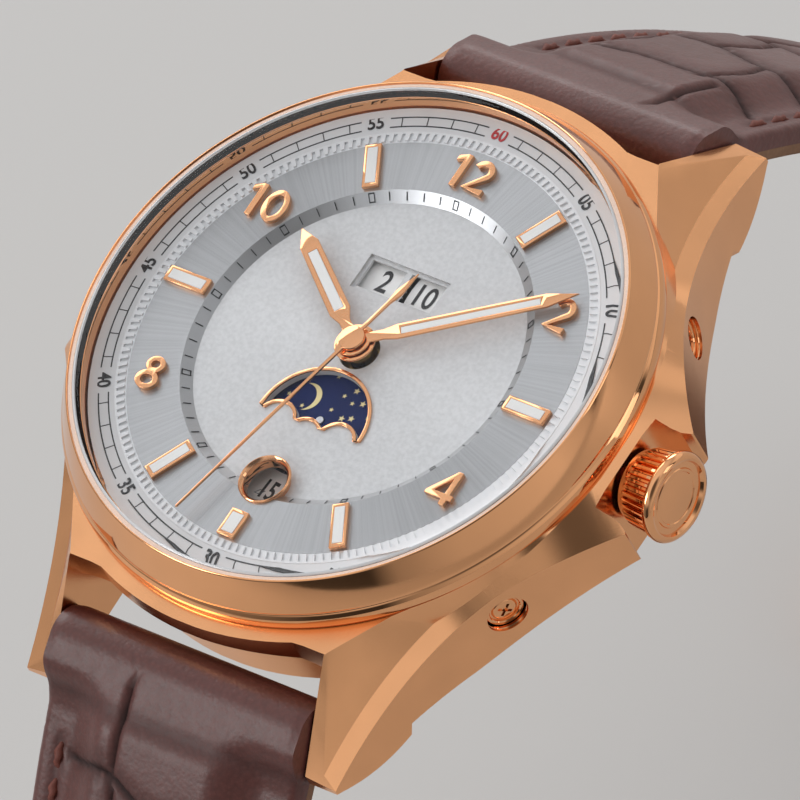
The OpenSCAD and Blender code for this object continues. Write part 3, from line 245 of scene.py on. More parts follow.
def join(name: str, parts: Sequence[bpy.types.Object]) -> bpy.types.Object:
    """Joins several mesh objects into one.

    Args:
        name: name of the result.
        parts: the objects to join; they are removed.

    Returns:
        One object with all their faces.
    """
    bm = bmesh.new()
    for part in parts:
        mesh = part.data
        mesh.transform(part.matrix_world)
        bm.from_mesh(mesh)
    mesh = bpy.data.meshes.new(name)
    bm.to_mesh(mesh)
    bm.free()
    for part in parts:
        bpy.data.objects.remove(part)
    obj = bpy.data.objects.new(name, mesh)
    bpy.context.scene.collection.objects.link(obj)
    return obj


def apply_modifiers(obj: bpy.types.Object) -> None:
    """Replaces an object's mesh by its evaluated one and drops its modifiers.

    Args:
        obj: the object, changed in place.
    """
    bpy.context.view_layer.update()
    deps = bpy.context.evaluated_depsgraph_get()
    mesh = bpy.data.meshes.new_from_object(obj.evaluated_get(deps))
    obj.modifiers.clear()
    obj.data = mesh


def cut_away(obj: bpy.types.Object, cutters: Sequence[bpy.types.Object]) -> None:
    """Subtracts cutters from a piece.

    Args:
        obj: the piece, changed in place.
        cutters: closed meshes; they are removed.
    """
    for cutter in cutters:
        mod = obj.modifiers.new("cut", "BOOLEAN")
        mod.operation = "DIFFERENCE"
        mod.solver = "EXACT"
        mod.object = cutter
    apply_modifiers(obj)
    for cutter in cutters:
        bpy.data.objects.remove(cutter)


def softened(node: str, width: float, segments: int = 2, degrees: float = 28.0,
             name: str | None = None) -> bpy.types.Object:
    """Makes a copy of a CAD node with small rounded edges that catch the light.

    Args:
        node: the CAD node.
        width: width of the rounding, in millimetres.
        segments: faces across a rounded edge.
        degrees: edges sharper than this are rounded.
        name: name of the new piece.

    Returns:
        The rounded piece, standing for the node.
    """
    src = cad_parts[node]
    mesh = src.data.copy()
    mesh.name = name or node + "_finish"
    obj = bpy.data.objects.new(mesh.name, mesh)
    bpy.context.scene.collection.objects.link(obj)
    bm = bmesh.new()
    bm.from_mesh(mesh)
    bmesh.ops.remove_doubles(bm, verts=bm.verts, dist=2e-7)
    bmesh.ops.dissolve_limit(bm, angle_limit=math.radians(0.4), verts=bm.verts, edges=bm.edges)
    bm.to_mesh(mesh)
    bm.free()
    if width > 0:
        mod = obj.modifiers.new("round", "BEVEL")
        mod.width = width * MM
        mod.segments = segments
        mod.limit_method = "ANGLE"
        mod.angle_limit = math.radians(degrees)
        mod.use_clamp_overlap = True
        apply_modifiers(obj)
    mark_sharp(obj.data, 50.0 if width > 0 else degrees)
    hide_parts(node)
    return obj


def text_mesh(name: str, words: str, size: float, place: Matrix, depth: float = 0.012,
              width: float = 1.0, heavy: float = 0.0) -> bpy.types.Object:
    """Makes flat printed figures.

    Args:
        name: name of the piece.
        words: the figures.
        size: height of the type, in millimetres.
        place: where the middle of the figures lies, in millimetres.
        depth: thickness of the ink.
        width: sideways stretch.
        heavy: thickening of the strokes, in millimetres.

    Returns:
        A mesh object.
    """
    curve = bpy.data.curves.new(name, "FONT")
    curve.body = words
    curve.size = size
    curve.align_x = "CENTER"
    curve.align_y = "CENTER"
    curve.extrude = depth / 2
    curve.resolution_u = 4
    curve.offset = heavy
    temp = bpy.data.objects.new(name, curve)
    bpy.context.scene.collection.objects.link(temp)
    bpy.context.view_layer.update()
    deps = bpy.context.evaluated_depsgraph_get()
    mesh = bpy.data.meshes.new_from_object(temp.evaluated_get(deps))
    bpy.data.objects.remove(temp)
    scale = Matrix.Diagonal((width, 1.0, 1.0, 1.0))
    mesh.transform(Matrix.Scale(MM, 4) @ place @ scale)
    obj = bpy.data.objects.new(name, mesh)
    bpy.context.scene.collection.objects.link(obj)
    return obj


# Shader node groups and finishes


class Shader:
    """Thin wrapper that adds and links nodes of one tree."""

    def __init__(self, tree: bpy.types.NodeTree) -> None:
        """Keeps the tree that nodes are added to."""
        self.tree = tree

    def add(self, kind: str, **values: object) -> bpy.types.Node:
        """Adds a node and sets its properties.

        Args:
            kind: the node type's identifier.
            **values: properties of the node.

        Returns:
            The new node.
        """
        node = self.tree.nodes.new(kind)
        for key, value in values.items():
            setattr(node, key, value)
        return node

    def link(self, a: bpy.types.NodeSocket, b: bpy.types.NodeSocket) -> None:
        """Links an output to an input."""
        self.tree.links.new(a, b)

    def math(self, op: str, a: object, b: object = None, c: object = None) -> bpy.types.NodeSocket:
        """Adds a Math node on sockets or numbers.

        Args:
            op: the operation.
            a: first operand.
            b: second operand.
            c: third operand.

        Returns:
            The value output.
        """
        node = self.add("ShaderNodeMath", operation=op)
        for i, value in enumerate((a, b, c)):
            if value is None:
                continue
            if isinstance(value, (int, float)):
                node.inputs[i].default_value = value
            else:
                self.link(value, node.inputs[i])
        return node.outputs[0]

    def ramp(self, source: bpy.types.NodeSocket, stops: Sequence[tuple[float, Sequence[float]]],
             mode: str = "LINEAR") -> bpy.types.NodeSocket:
        """Adds a colour ramp.

        Args:
            source: the value that drives it.
            stops: position and colour of each stop.
            mode: the interpolation.

        Returns:
            The colour output.
        """
        node = self.add("ShaderNodeValToRGB")
        node.color_ramp.interpolation = mode
        elements = node.color_ramp.elements
        while len(elements) > 1:
            elements.remove(elements[-1])
        for i, (pos, colour) in enumerate(stops):
            item = elements[0] if i == 0 else elements.new(pos)
            item.position = pos
            item.color = tuple(colour) if len(colour) == 4 else (*colour, 1.0)
        self.link(source, node.inputs[0])
        return node.outputs[0]

    def mix(self, factor: object, a: object, b: object) -> bpy.types.NodeSocket:
        """Mixes two colours by a factor.

        Args:
            factor: number or value socket.
            a: colour at 0.
            b: colour at 1.

        Returns:
            The mixed colour.
        """
        node = self.add("ShaderNodeMix", data_type="RGBA")
        for socket, value in ((node.inputs[0], factor), (node.inputs[6], a), (node.inputs[7], b)):
            if isinstance(value, bpy.types.NodeSocket):
                self.link(value, socket)
            elif isinstance(value, (int, float)):
                socket.default_value = value
            else:
                socket.default_value = (*value, 1.0)
        return node.outputs[2]


def new_group(name: str, inputs: Sequence[tuple[str, str, object]],
              outputs: Sequence[tuple[str, str]]) -> tuple[Shader, bpy.types.Node, bpy.types.Node]:
    """Starts a shader node group.

    Args:
        name: the group's name.
        inputs: name, socket type and default of each input.
        outputs: name and socket type of each output.

    Returns:
        The shader helper, the group's input node and its output node.
    """
    tree = bpy.data.node_groups.new(name, "ShaderNodeTree")
    for label, kind, default in inputs:
        socket = tree.interface.new_socket(label, in_out="INPUT", socket_type=kind)
        if default is not None:
            socket.default_value = default
    for label, kind in outputs:
        tree.interface.new_socket(label, in_out="OUTPUT", socket_type=kind)
    sh = Shader(tree)
    return sh, sh.add("NodeGroupInput"), sh.add("NodeGroupOutput")


def radial_brush_group() -> bpy.types.NodeTree:
    """Builds the group of fine lines that fan out from a centre.

    Returns:
        A node tree with a Lines mask from 0 to 1, the Radius in millimetres and the Angle.
    """
    sh, gin, gout = new_group(
        "radial_brush",
        [("Centre X", "NodeSocketFloat", 0.0), ("Centre Y", "NodeSocketFloat", 0.0),
         ("Fineness", "NodeSocketFloat", 60.0)],
        [("Lines", "NodeSocketFloat"), ("Radius", "NodeSocketFloat"), ("Angle", "NodeSocketFloat")])
    coord = sh.add("ShaderNodeTexCoord")
    sep = sh.add("ShaderNodeSeparateXYZ")
    sh.link(coord.outputs["Object"], sep.inputs[0])
    x = sh.math("SUBTRACT", sh.math("MULTIPLY", sep.outputs[0], 1000.0), gin.outputs[0])
    y = sh.math("SUBTRACT", sh.math("MULTIPLY", sep.outputs[1], 1000.0), gin.outputs[1])
    angle = sh.math("ARCTAN2", y, x)
    radius = sh.math("SQRT", sh.math("ADD", sh.math("MULTIPLY", x, x), sh.math("MULTIPLY", y, y)))
    lines = sh.add("ShaderNodeTexNoise", noise_dimensions="2D")
    lines.inputs["Detail"].default_value = 3.0
    lines.inputs["Scale"].default_value = 1.0
    comb = sh.add("ShaderNodeCombineXYZ")
    sh.link(sh.math("MULTIPLY", angle, gin.outputs[2]), comb.inputs[0])
    sh.link(sh.math("MULTIPLY", radius, 0.02), comb.inputs[1])
    sh.link(comb.outputs[0], lines.inputs["Vector"])
    sh.link(lines.outputs[0], gout.inputs[0])
    sh.link(radius, gout.inputs[1])
    sh.link(angle, gout.inputs[2])
    return sh.tree


def fine_grain_group() -> bpy.types.NodeTree:
    """Builds the group of fine even grain and broad faint smudges.

    Returns:
        A node tree with a Grain value and a Smudge value, both from 0 to 1.
    """
    sh, gin, gout = new_group(
        "fine_grain",
        [("Scale", "NodeSocketFloat", 4000.0), ("Stretch", "NodeSocketVector", (1.0, 1.0, 1.0)),
         ("Smudge Scale", "NodeSocketFloat", 250.0)],
        [("Grain", "NodeSocketFloat"), ("Smudge", "NodeSocketFloat")])
    coord = sh.add("ShaderNodeTexCoord")
    vec = sh.add("ShaderNodeVectorMath", operation="MULTIPLY")
    sh.link(coord.outputs["Object"], vec.inputs[0])
    sh.link(gin.outputs[1], vec.inputs[1])
    grain = sh.add("ShaderNodeTexNoise")
    grain.inputs["Detail"].default_value = 4.0
    sh.link(vec.outputs[0], grain.inputs["Vector"])
    sh.link(gin.outputs[0], grain.inputs["Scale"])
    smudge = sh.add("ShaderNodeTexNoise")
    smudge.inputs["Detail"].default_value = 2.0
    sh.link(coord.outputs["Object"], smudge.inputs["Vector"])
    sh.link(gin.outputs[2], smudge.inputs["Scale"])
    sh.link(grain.outputs[0], gout.inputs[0])
    sh.link(smudge.outputs[0], gout.inputs[1])
    return sh.tree


def leather_group() -> bpy.types.NodeTree:
    """Builds the group of fine leather pores, wrinkles and colour patches.

    Returns:
        A node tree with Height, Pores and Patches values.
    """
    sh, gin, gout = new_group(
        "leather_grain",
        [("Scale", "NodeSocketFloat", 3600.0), ("Wrinkle Scale", "NodeSocketFloat", 900.0)],
        [("Height", "NodeSocketFloat"), ("Pores", "NodeSocketFloat"), ("Patches", "NodeSocketFloat")])
    coord = sh.add("ShaderNodeTexCoord")
    pores = sh.add("ShaderNodeTexVoronoi", feature="SMOOTH_F1")
    sh.link(coord.outputs["Object"], pores.inputs["Vector"])
    sh.link(gin.outputs[0], pores.inputs["Scale"])
    wrinkle = sh.add("ShaderNodeTexNoise")
    wrinkle.inputs["Detail"].default_value = 6.0
    wrinkle.inputs["Roughness"].default_value = 0.65
    sh.link(coord.outputs["Object"], wrinkle.inputs["Vector"])
    sh.link(gin.outputs[1], wrinkle.inputs["Scale"])
    patches = sh.add("ShaderNodeTexNoise")
    patches.inputs["Scale"].default_value = 160.0
    patches.inputs["Detail"].default_value = 3.0
    sh.link(coord.outputs["Object"], patches.inputs["Vector"])
    edge = sh.math("SUBTRACT", 1.0, sh.math("MULTIPLY", pores.outputs[0], 0.9))
    height = sh.math("ADD", sh.math("MULTIPLY", edge, 0.35), sh.math("MULTIPLY", wrinkle.outputs[0], 0.8))
    sh.link(height, gout.inputs[0])
    sh.link(edge, gout.inputs[1])
    sh.link(patches.outputs[0], gout.inputs[2])
    return sh.tree


class Groups:
    """The shared shader node groups, each built once."""

    def __init__(self) -> None:
        """Builds the groups."""
        self.radial = radial_brush_group()
        self.grain = fine_grain_group()
        self.leather = leather_group()


@dataclass(frozen=True)
class Metal:
    """A metal finish: colour, polish and the fine lines or grain in it."""

    name: str
    colour: Point
    roughness: float
    spread: float = 0.05
    grain: float = 0.0
    grain_scale: float = 3000.0
    stretch: Point = (1.0, 1.0, 1.0)
    tint: float = 0.06

    def build(self, groups: Groups) -> bpy.types.Material:
        """Makes the material.

        Args:
            groups: the shared node groups.

        Returns:
            The finished material.
        """
        mat = bpy.data.materials.new(self.name)
        mat.use_nodes = True
        sh = Shader(mat.node_tree)
        bsdf = mat.node_tree.nodes["Principled BSDF"]
        bsdf.inputs["Metallic"].default_value = 1.0
        grain = sh.add("ShaderNodeGroup", node_tree=groups.grain)
        grain.inputs["Scale"].default_value = self.grain_scale
        grain.inputs["Stretch"].default_value = self.stretch
        low = tuple(max(0.0, c * (1 - self.tint)) for c in self.colour)
        high = tuple(min(1.0, c * (1 + self.tint)) for c in self.colour)
        sh.link(sh.ramp(grain.outputs["Smudge"], [(0.3, low), (0.7, high)]), bsdf.inputs["Base Color"])
        rough = sh.math("ADD", sh.math("MULTIPLY", grain.outputs["Grain"], self.spread),
                        self.roughness - self.spread / 2)
        sh.link(rough, bsdf.inputs["Roughness"])
        if self.grain > 0:
            bump = sh.add("ShaderNodeBump")
            bump.inputs["Strength"].default_value = self.grain
            bump.inputs["Distance"].default_value = GRAIN_DEPTH
            sh.link(grain.outputs["Grain"], bump.inputs["Height"])
            sh.link(bump.outputs[0], bsdf.inputs["Normal"])
        return mat


@dataclass(frozen=True)
class Paint:
    """A painted, printed or moulded finish with a little life in it."""

    name: str
    colour: Point
    roughness: float
    variation: float = 0.06
    grain: float = 0.1
    grain_scale: float = 2500.0
    coat: float = 0.0
    metallic: float = 0.0
    shine: float = 0.5

    def build(self, groups: Groups) -> bpy.types.Material:
        """Makes the material.

        Args:
            groups: the shared node groups.

        Returns:
            The finished material.
        """
        mat = bpy.data.materials.new(self.name)
        mat.use_nodes = True
        sh = Shader(mat.node_tree)
        bsdf = mat.node_tree.nodes["Principled BSDF"]
        bsdf.inputs["Coat Weight"].default_value = self.coat
        bsdf.inputs["Coat Roughness"].default_value = 0.08
        bsdf.inputs["Metallic"].default_value = self.metallic
        bsdf.inputs["Specular IOR Level"].default_value = self.shine
        grain = sh.add("ShaderNodeGroup", node_tree=groups.grain)
        grain.inputs["Scale"].default_value = self.grain_scale
        low = tuple(max(0.0, c * (1 - self.variation)) for c in self.colour)
        high = tuple(min(1.0, c * (1 + self.variation)) for c in self.colour)
        sh.link(sh.ramp(grain.outputs["Smudge"], [(0.3, low), (0.7, high)]), bsdf.inputs["Base Color"])
        rough = sh.math("ADD", sh.math("MULTIPLY", grain.outputs["Grain"], PAINT_SPREAD),
                        self.roughness - PAINT_SPREAD / 2)
        sh.link(rough, bsdf.inputs["Roughness"])
        bump = sh.add("ShaderNodeBump")
        bump.inputs["Strength"].default_value = self.grain
        bump.inputs["Distance"].default_value = GRAIN_DEPTH
        sh.link(grain.outputs["Grain"], bump.inputs["Height"])
        sh.link(bump.outputs[0], bsdf.inputs["Normal"])
        return mat


@dataclass(frozen=True)
class Leather:
    """Glazed or plain calf leather, with painted shade darkening its creases."""

    name: str
    colour: Point
    dark: Point
    light: Point
    roughness: float
    coat: float
    bump: float = 0.5
    crease_attribute: str = ""
    shine: float = 0.5

    def build(self, groups: Groups) -> bpy.types.Material:
        """Makes the material.

        Args:
            groups: the shared node groups.

        Returns:
            The finished material.
        """
        mat = bpy.data.materials.new(self.name)
        mat.use_nodes = True
        sh = Shader(mat.node_tree)
        bsdf = mat.node_tree.nodes["Principled BSDF"]
        grain = sh.add("ShaderNodeGroup", node_tree=groups.leather)
        colour = sh.ramp(grain.outputs["Patches"], [(0.3, self.colour), (0.72, self.light)])
        colour = sh.mix(sh.math("MULTIPLY", sh.math("SUBTRACT", 1.0, grain.outputs["Pores"]), 0.5),
                        colour, self.dark)
        if self.crease_attribute:
            # Painted shade: the crease depth darkens the colour towards the dark colour in creases, grooves and along
            # the stitch lines
            attr = sh.add("ShaderNodeAttribute", attribute_name=self.crease_attribute)
            colour = sh.mix(sh.math("MULTIPLY", attr.outputs["Fac"], 0.9), colour, self.dark)
        sh.link(colour, bsdf.inputs["Base Color"])
        rough = sh.math("ADD", sh.math("MULTIPLY", grain.outputs["Height"], 0.2), self.roughness - 0.1)
        bsdf.inputs["Coat Weight"].default_value = self.coat
        if self.crease_attribute:
            rough = sh.math("ADD", rough, sh.math("MULTIPLY", attr.outputs["Fac"], 0.35))
            free = sh.math("SUBTRACT", 1.0, sh.math("MINIMUM", sh.math("MULTIPLY", attr.outputs["Fac"], 1.6), 1.0))
            sh.link(sh.math("MULTIPLY", free, self.coat), bsdf.inputs["Coat Weight"])
        sh.link(rough, bsdf.inputs["Roughness"])
        bsdf.inputs["Coat Roughness"].default_value = 0.34
        bsdf.inputs["Specular IOR Level"].default_value = self.shine
        bump = sh.add("ShaderNodeBump")
        bump.inputs["Strength"].default_value = self.bump
        bump.inputs["Distance"].default_value = 0.0001
        sh.link(grain.outputs["Height"], bump.inputs["Height"])
        sh.link(bump.outputs[0], bsdf.inputs["Normal"])
        return mat


@dataclass(frozen=True)
class DialFace:
    """Silver dial: fanned brushing outside, a shaded hour cone and a grained middle."""

    name: str = "dial_face"
    inner_r: float = 10.9
    outer_r: float = 11.6

    def build(self, groups: Groups) -> bpy.types.Material:
        """Makes the material.

        Args:
            groups: the shared node groups.

        Returns:
            The finished material.
        """
        mat = bpy.data.materials.new(self.name)
        mat.use_nodes = True
        sh = Shader(mat.node_tree)
        bsdf = mat.node_tree.nodes["Principled BSDF"]
        fan = sh.add("ShaderNodeGroup", node_tree=groups.radial)
        fan.inputs["Fineness"].default_value = 90.0
        grain = sh.add("ShaderNodeGroup", node_tree=groups.grain)
        grain.inputs["Scale"].default_value = 3400.0
        outside = sh.math("GREATER_THAN", fan.outputs["Radius"], self.outer_r)
        inside = sh.math("LESS_THAN", fan.outputs["Radius"], self.inner_r)
        lines = sh.ramp(fan.outputs["Lines"], [(0.3, (0.37, 0.373, 0.377)), (0.7, (0.42, 0.424, 0.428))])
        cone = (0.46, 0.465, 0.47)
        plain = sh.ramp(grain.outputs["Grain"], [(0.35, (0.6, 0.605, 0.61)), (0.65, (0.67, 0.675, 0.68))])
        colour = sh.mix(outside, cone, lines)
        colour = sh.mix(inside, colour, plain)
        sh.link(colour, bsdf.inputs["Base Color"])
        rough = sh.math("ADD", sh.math("MULTIPLY", fan.outputs["Lines"], 0.06), 0.3)
        rough = sh.math("ADD", rough, sh.math("MULTIPLY", inside, 0.2))
        sh.link(rough, bsdf.inputs["Roughness"])
        sh.link(sh.math("SUBTRACT", 0.85, sh.math("MULTIPLY", inside, 0.65)), bsdf.inputs["Metallic"])
        bsdf.inputs["Anisotropic"].default_value = 0.7
        tangent = sh.add("ShaderNodeTangent", direction_type="RADIAL", axis="Z")
        sh.link(tangent.outputs[0], bsdf.inputs["Tangent"])
        height = sh.math("ADD", sh.math("MULTIPLY", sh.math("MULTIPLY", fan.outputs["Lines"], outside), 0.1),
                         sh.math("MULTIPLY", sh.math("MULTIPLY", grain.outputs["Grain"], inside), 1.0))
        bump = sh.add("ShaderNodeBump")
        bump.inputs["Strength"].default_value = 0.5
        bump.inputs["Distance"].default_value = 0.00004
        sh.link(height, bump.inputs["Height"])
        sh.link(bump.outputs[0], bsdf.inputs["Normal"])
        return mat


@dataclass(frozen=True)
class Glass:
    """Clear sapphire that lets the light reach what lies under it."""

    name: str
    tint: Point = (0.97, 0.98, 1.0)
    ior: float = 1.22
    roughness: float = 0.0

    def build(self, groups: Groups) -> bpy.types.Material:
        """Makes the material.

        Args:
            groups: the shared node groups; not used.

        Returns:
            The finished material.
        """
        mat = bpy.data.materials.new(self.name)
        mat.use_nodes = True
        sh = Shader(mat.node_tree)
        bsdf = mat.node_tree.nodes["Principled BSDF"]
        out = mat.node_tree.nodes["Material Output"]
        bsdf.inputs["Base Color"].default_value = (*self.tint, 1.0)
        bsdf.inputs["Transmission Weight"].default_value = 1.0
        bsdf.inputs["Roughness"].default_value = self.roughness
        bsdf.inputs["IOR"].default_value = self.ior
        clear = sh.add("ShaderNodeBsdfTransparent")
        path = sh.add("ShaderNodeLightPath")
        rays = sh.math("MAXIMUM", path.outputs["Is Shadow Ray"], path.outputs["Is Diffuse Ray"])
        mixer = sh.add("ShaderNodeMixShader")
        sh.link(rays, mixer.inputs[0])
        sh.link(bsdf.outputs[0], mixer.inputs[1])
        sh.link(clear.outputs[0], mixer.inputs[2])
        sh.link(mixer.outputs[0], out.inputs["Surface"])
        return mat


class Finishes:
    """Every finish of the watch, built once and looked up by name."""

    def __init__(self) -> None:
        """Builds the groups and the materials."""
        groups = Groups()
        gold = (0.92, 0.455, 0.22)
        self.polished = Metal("polished_gold", gold, 0.06, 0.03, tint=0.03).build(groups)
        self.satin = Metal("satin_gold", (0.92, 0.49, 0.26), 0.24, 0.08, 0.25, 2600.0,
                           (1.0, 1.0, 6.0), tint=0.04).build(groups)
        self.soft_gold = Metal("soft_gold", gold, 0.2, 0.06, 0.12, 5200.0, (1.0, 1.0, 5.0), tint=0.05).build(groups)
        self.steel = Metal("plated_steel", (0.62, 0.63, 0.66), 0.26, 0.1, 0.3, 2500.0).build(groups)
        self.bright_steel = Metal("bright_steel", (0.7, 0.7, 0.72), 0.12, 0.05).build(groups)
        self.striped = Metal("striped_bridges", (0.66, 0.66, 0.69), 0.24, 0.12, 0.5, 700.0,
                             (1.0, 8.0, 1.0)).build(groups)
        self.brass = Metal("wheel_brass", (0.75, 0.56, 0.25), 0.2, 0.08).build(groups)
        self.blued = Metal("blued_steel", (0.05, 0.1, 0.42), 0.15, 0.05).build(groups)
        self.ruby = Paint("ruby", (0.55, 0.02, 0.1), 0.12, 0.15, 0.02, coat=0.8).build(groups)
        self.dial = DialFace().build(groups)
        self.flange = Paint("flange_silver", (0.72, 0.73, 0.74), 0.42, 0.03, 0.06).build(groups)
        self.flutes = Paint("fluted_silver", (0.78, 0.79, 0.8), 0.3, 0.03, 0.05, metallic=0.3).build(groups)
        self.lume = Paint("white_inlay", (0.86, 0.86, 0.84), 0.55, 0.02, 0.3).build(groups)
        self.ink = Paint("black_ink", (0.012, 0.012, 0.014), 0.45, 0.2, 0.05).build(groups)
        self.red_ink = Paint("red_ink", (0.5, 0.015, 0.02), 0.45, 0.1, 0.05).build(groups)
        self.white = Paint("calendar_white", (0.93, 0.93, 0.92), 0.5, 0.02, 0.1).build(groups)
        self.night = Paint("night_blue", (0.006, 0.017, 0.1), 0.6, 0.25, 0.05, shine=0.12).build(groups)
        self.moon_gold = Paint("moon_gold", (0.85, 0.72, 0.36), 0.4, 0.08, 0.1, metallic=0.3).build(groups)
        self.rubber = Paint("gasket_black", (0.02, 0.02, 0.02), 0.6, 0.1, 0.2).build(groups)
        self.crystal = Glass("crystal_glass").build(groups)
        self.back_glass = Glass("case_back_glass").build(groups)
        # Pale opaque ring whose colour is a painted reflection of the crystal's polished edge
        self.edge = Paint("crystal_edge_painted_reflection", (0.72, 0.74, 0.76), 0.25, 0.06, 0.02, coat=0.6).build(groups)
        self.seat_ring = Metal("tension_ring", (0.93, 0.7, 0.58), 0.2, 0.06).build(groups)
        # The strap's upper takes painted shade in its creases from the crease attribute
        self.hide = Leather("strap_leather", (0.125, 0.034, 0.026), (0.012, 0.003, 0.003),
                            (0.15, 0.042, 0.035), 0.4, 0.16, 0.6, "crease", 0.5).build(groups)
        self.lining = Leather("lining_leather", (0.23, 0.11, 0.055), (0.1, 0.045, 0.02),
                              (0.3, 0.16, 0.085), 0.62, 0.0, 0.4).build(groups)
        self.edge_leather = Leather("edge_leather", (0.05, 0.014, 0.012), (0.015, 0.005, 0.004),
                                    (0.08, 0.022, 0.018), 0.45, 0.2, 0.5).build(groups)
        self.thread = Leather("stitch_thread", (0.16, 0.036, 0.022), (0.04, 0.01, 0.007),
                              (0.24, 0.06, 0.038), 0.6, 0.0, 0.6).build(groups)


def dress(obj: bpy.types.Object, material: bpy.types.Material, body: Body | None = None) -> bpy.types.Object:
    """Gives a piece its finish and its body.

    Args:
        obj: the piece.
        material: its finish.
        body: the body it rides on, or None for a CAD node.

    Returns:
        The same piece.
    """
    obj.data.materials.clear()
    obj.data.materials.append(material)
    if body is not None:
        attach(obj, body.value)
    return obj


def dress_nodes(names: Iterable[str], material: bpy.types.Material) -> None:
    """Gives carried-over CAD nodes their finish.

    Args:
        names: the CAD nodes.
        material: their finish.
    """
    for name in names:
        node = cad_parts[name]
        node.data.materials.clear()
        node.data.materials.append(material)


# The case


@dataclass
class CaseBody:
    """Case middle with its lugs and bevels, bezel, crystal and case back."""

    finishes: Finishes
    lug_gap: float = 20.2
    lug_reach: float = 24.9
    lug_tip_x: float = 12.3
    guard_x: float = 22.7
    guard_y: float = 3.7
    case_half_w: float = 20.7
    flank_sag: float = 2.0
    bevel_w: float = 1.15
    end_wall_y: float = 19.2
    deck_mid_t: float = 1.4
    bore_r: float = 17.3
    seat_r: float = 17.75
    bar_z: float = 4.2
    bar_y: float = 22.5
    bar_tip_x: float = 10.7
    recess_half: float = 3.45
    low_z: float = 1.9
    top_z: float = 8.65
    bezel_r: float = 19.72
    bezel_top: float = 12.0
    foot_from_y: float = 18.9
    foot_depth: float = 2.2
    wall_angle: float = 37.8
    edge_round: float = 0.2
    end_steps: int = 12
    steps: int = 64

    def _edge_z(self, y: float) -> float:
        """Height of the upper flank edge, level in the middle and falling towards the lug's tip."""
        return self.top_z - 1.6 - 4.4 * max(0.0, (y - 10) / 14.9) ** 1.4

    def _low(self, y: float) -> float:
        """Height of the lower flank edge, with the lug's foot beyond its step."""
        if y > self.foot_from_y:
            return min(self.low_z - 0.95 + 1.4 * ((y - 20.6) / 4.3) ** 2, self._edge_z(y) - 0.35)
        return self.low_z + 0.05 + 2.5 * max(0.0, (14 - y) / 10.7) ** 1.5

    def _bore(self, degrees: float) -> Vector:
        """Point on the bore at a clock angle."""
        return Vector(clock(self.bore_r, degrees))

    def _end_section(self, x: float) -> list[Point]:
        """Section through the round wall between the lugs and the thin deck above it.

        Args:
            x: sideways place of the section.

        Returns:
            The section's points, from the bore's foot round to the bore's top.
        """
        y, low, top = math.sqrt(self.end_wall_y ** 2 - x * x), self.low_z, self.top_z
        deck = max(self.end_wall_y, math.sqrt(self.case_half_w ** 2 - x * x))
        thick = self.deck_mid_t + 0.85 * (2 * x / self.lug_gap) ** 3
        a = 74.6 * x / self.lug_gap
        i, base = self._bore(a), clock(self.seat_r, a)
        under = top - thick - 0.9
        return [(i.x, i.y, low), (*base, low), (x, y - 0.5, low), (x, y, low + 0.3), (x, y, low + 2), (x, y, under),
                (x, (y + deck) / 2, under + 0.45), (x, deck, top - thick), (x, deck, top - thick / 2),
                (x, deck, top), (i.x, i.y, top)]

    def _lug_wall_section(self) -> list[Point]:
        """Section along the inner wall of a lug.

        Returns:
            As many points as an end section, in the same order.
        """
        x, y = self.lug_gap / 2, self.lug_reach
        i = self._bore(self.wall_angle)
        tip_z = self._edge_z(y) + 0.45
        root_y = self.end_wall_y + 0.1

        def ridge(at_y: float) -> Point:
            """Point on the straight ridge from the lug's root to its tip."""
            return x, at_y, self.top_z + (tip_z - self.top_z) * (at_y - root_y) / (y - root_y)

        return [(i.x, i.y, self.low_z), (*clock(self.seat_r, self.wall_angle), self.low_z),
                (x, y - 1.5, self._low(y - 1.5)), (x, y, self._low(y)), (x, y, tip_z),
                *(ridge(y - back) for back in (1.5, 2.6, 3.7, 4.8)),
                (x, root_y, self.top_z), (i.x, i.y, self.top_z)]

    def _flank_section(self, t: float, right: bool) -> list[Point]:
        """Section from the bore over the bevel and down the flank.

        Args:
            t: place along the flank, from 0 at the lug's tip to 1 at the middle of the side.
            right: whether the section is on the crown's side, where the guards stand out.

        Returns:
            As many points as an end section, in the same order.
        """
        tip, guard = Vector((self.lug_tip_x, self.lug_reach)), Vector((self.guard_x, self.guard_y))
        u = (guard - tip).normalized()
        inward = Vector((u.y, -u.x))
        # The flank's edge, the bevel's upper edge, and the fold where the lug's top meets the case's top
        edge = tip + (guard - tip) * t + inward * 4 * self.flank_sag * t * (1 - t)
        edge.x = min(edge.x, self.guard_x if right else self.case_half_w)
        grow = self.bevel_w + 3.5 * max(0.0, (t - 0.55) / 0.45) ** 1.5
        bevel = edge + inward * grow
        seat = self.bezel_r + 0.12
        if bevel.length < seat:
            bevel = bevel * (seat / bevel.length)
        edge_z = self._edge_z(edge.y)
        near = smooth01((self.bezel_r + 1.1 - bevel.length) / 1.0)
        rise = 0.5 + 1.1 * smooth01((t - 0.5) / 0.4)
        bevel_z = min(self.top_z - 0.3 + 0.28 * near, edge_z + rise)
        root = Vector((self.lug_gap / 2 + 0.1, self.end_wall_y - 0.15))
        shoulder = root + Vector((2.5, -3.9))
        fold = shoulder + (root - shoulder) * (1 - t / 0.5) if t < 0.5 else bevel * 0.985
        facet = []
        for f in (0.25, 0.5, 0.75):
            m = bevel + (fold - bevel) * f
            facet.append((m.x, m.y, bevel_z + (self.top_z - bevel_z) * f))
        bore_angle = 39 + 43 * t
        i = self._bore(bore_angle)
        low = self._low(edge.y)
        foot = edge - edge.normalized() * self.foot_depth
        return [(i.x, i.y, self.low_z), (*clock(self.seat_r, bore_angle), self.low_z),
                (foot.x, foot.y, low if edge.y > self.foot_from_y else self.low_z),
                (edge.x, edge.y, low), (edge.x, edge.y, edge_z), (bevel.x, bevel.y, bevel_z), *facet,
                (fold.x, fold.y, self.top_z), (i.x, i.y, self.top_z)]

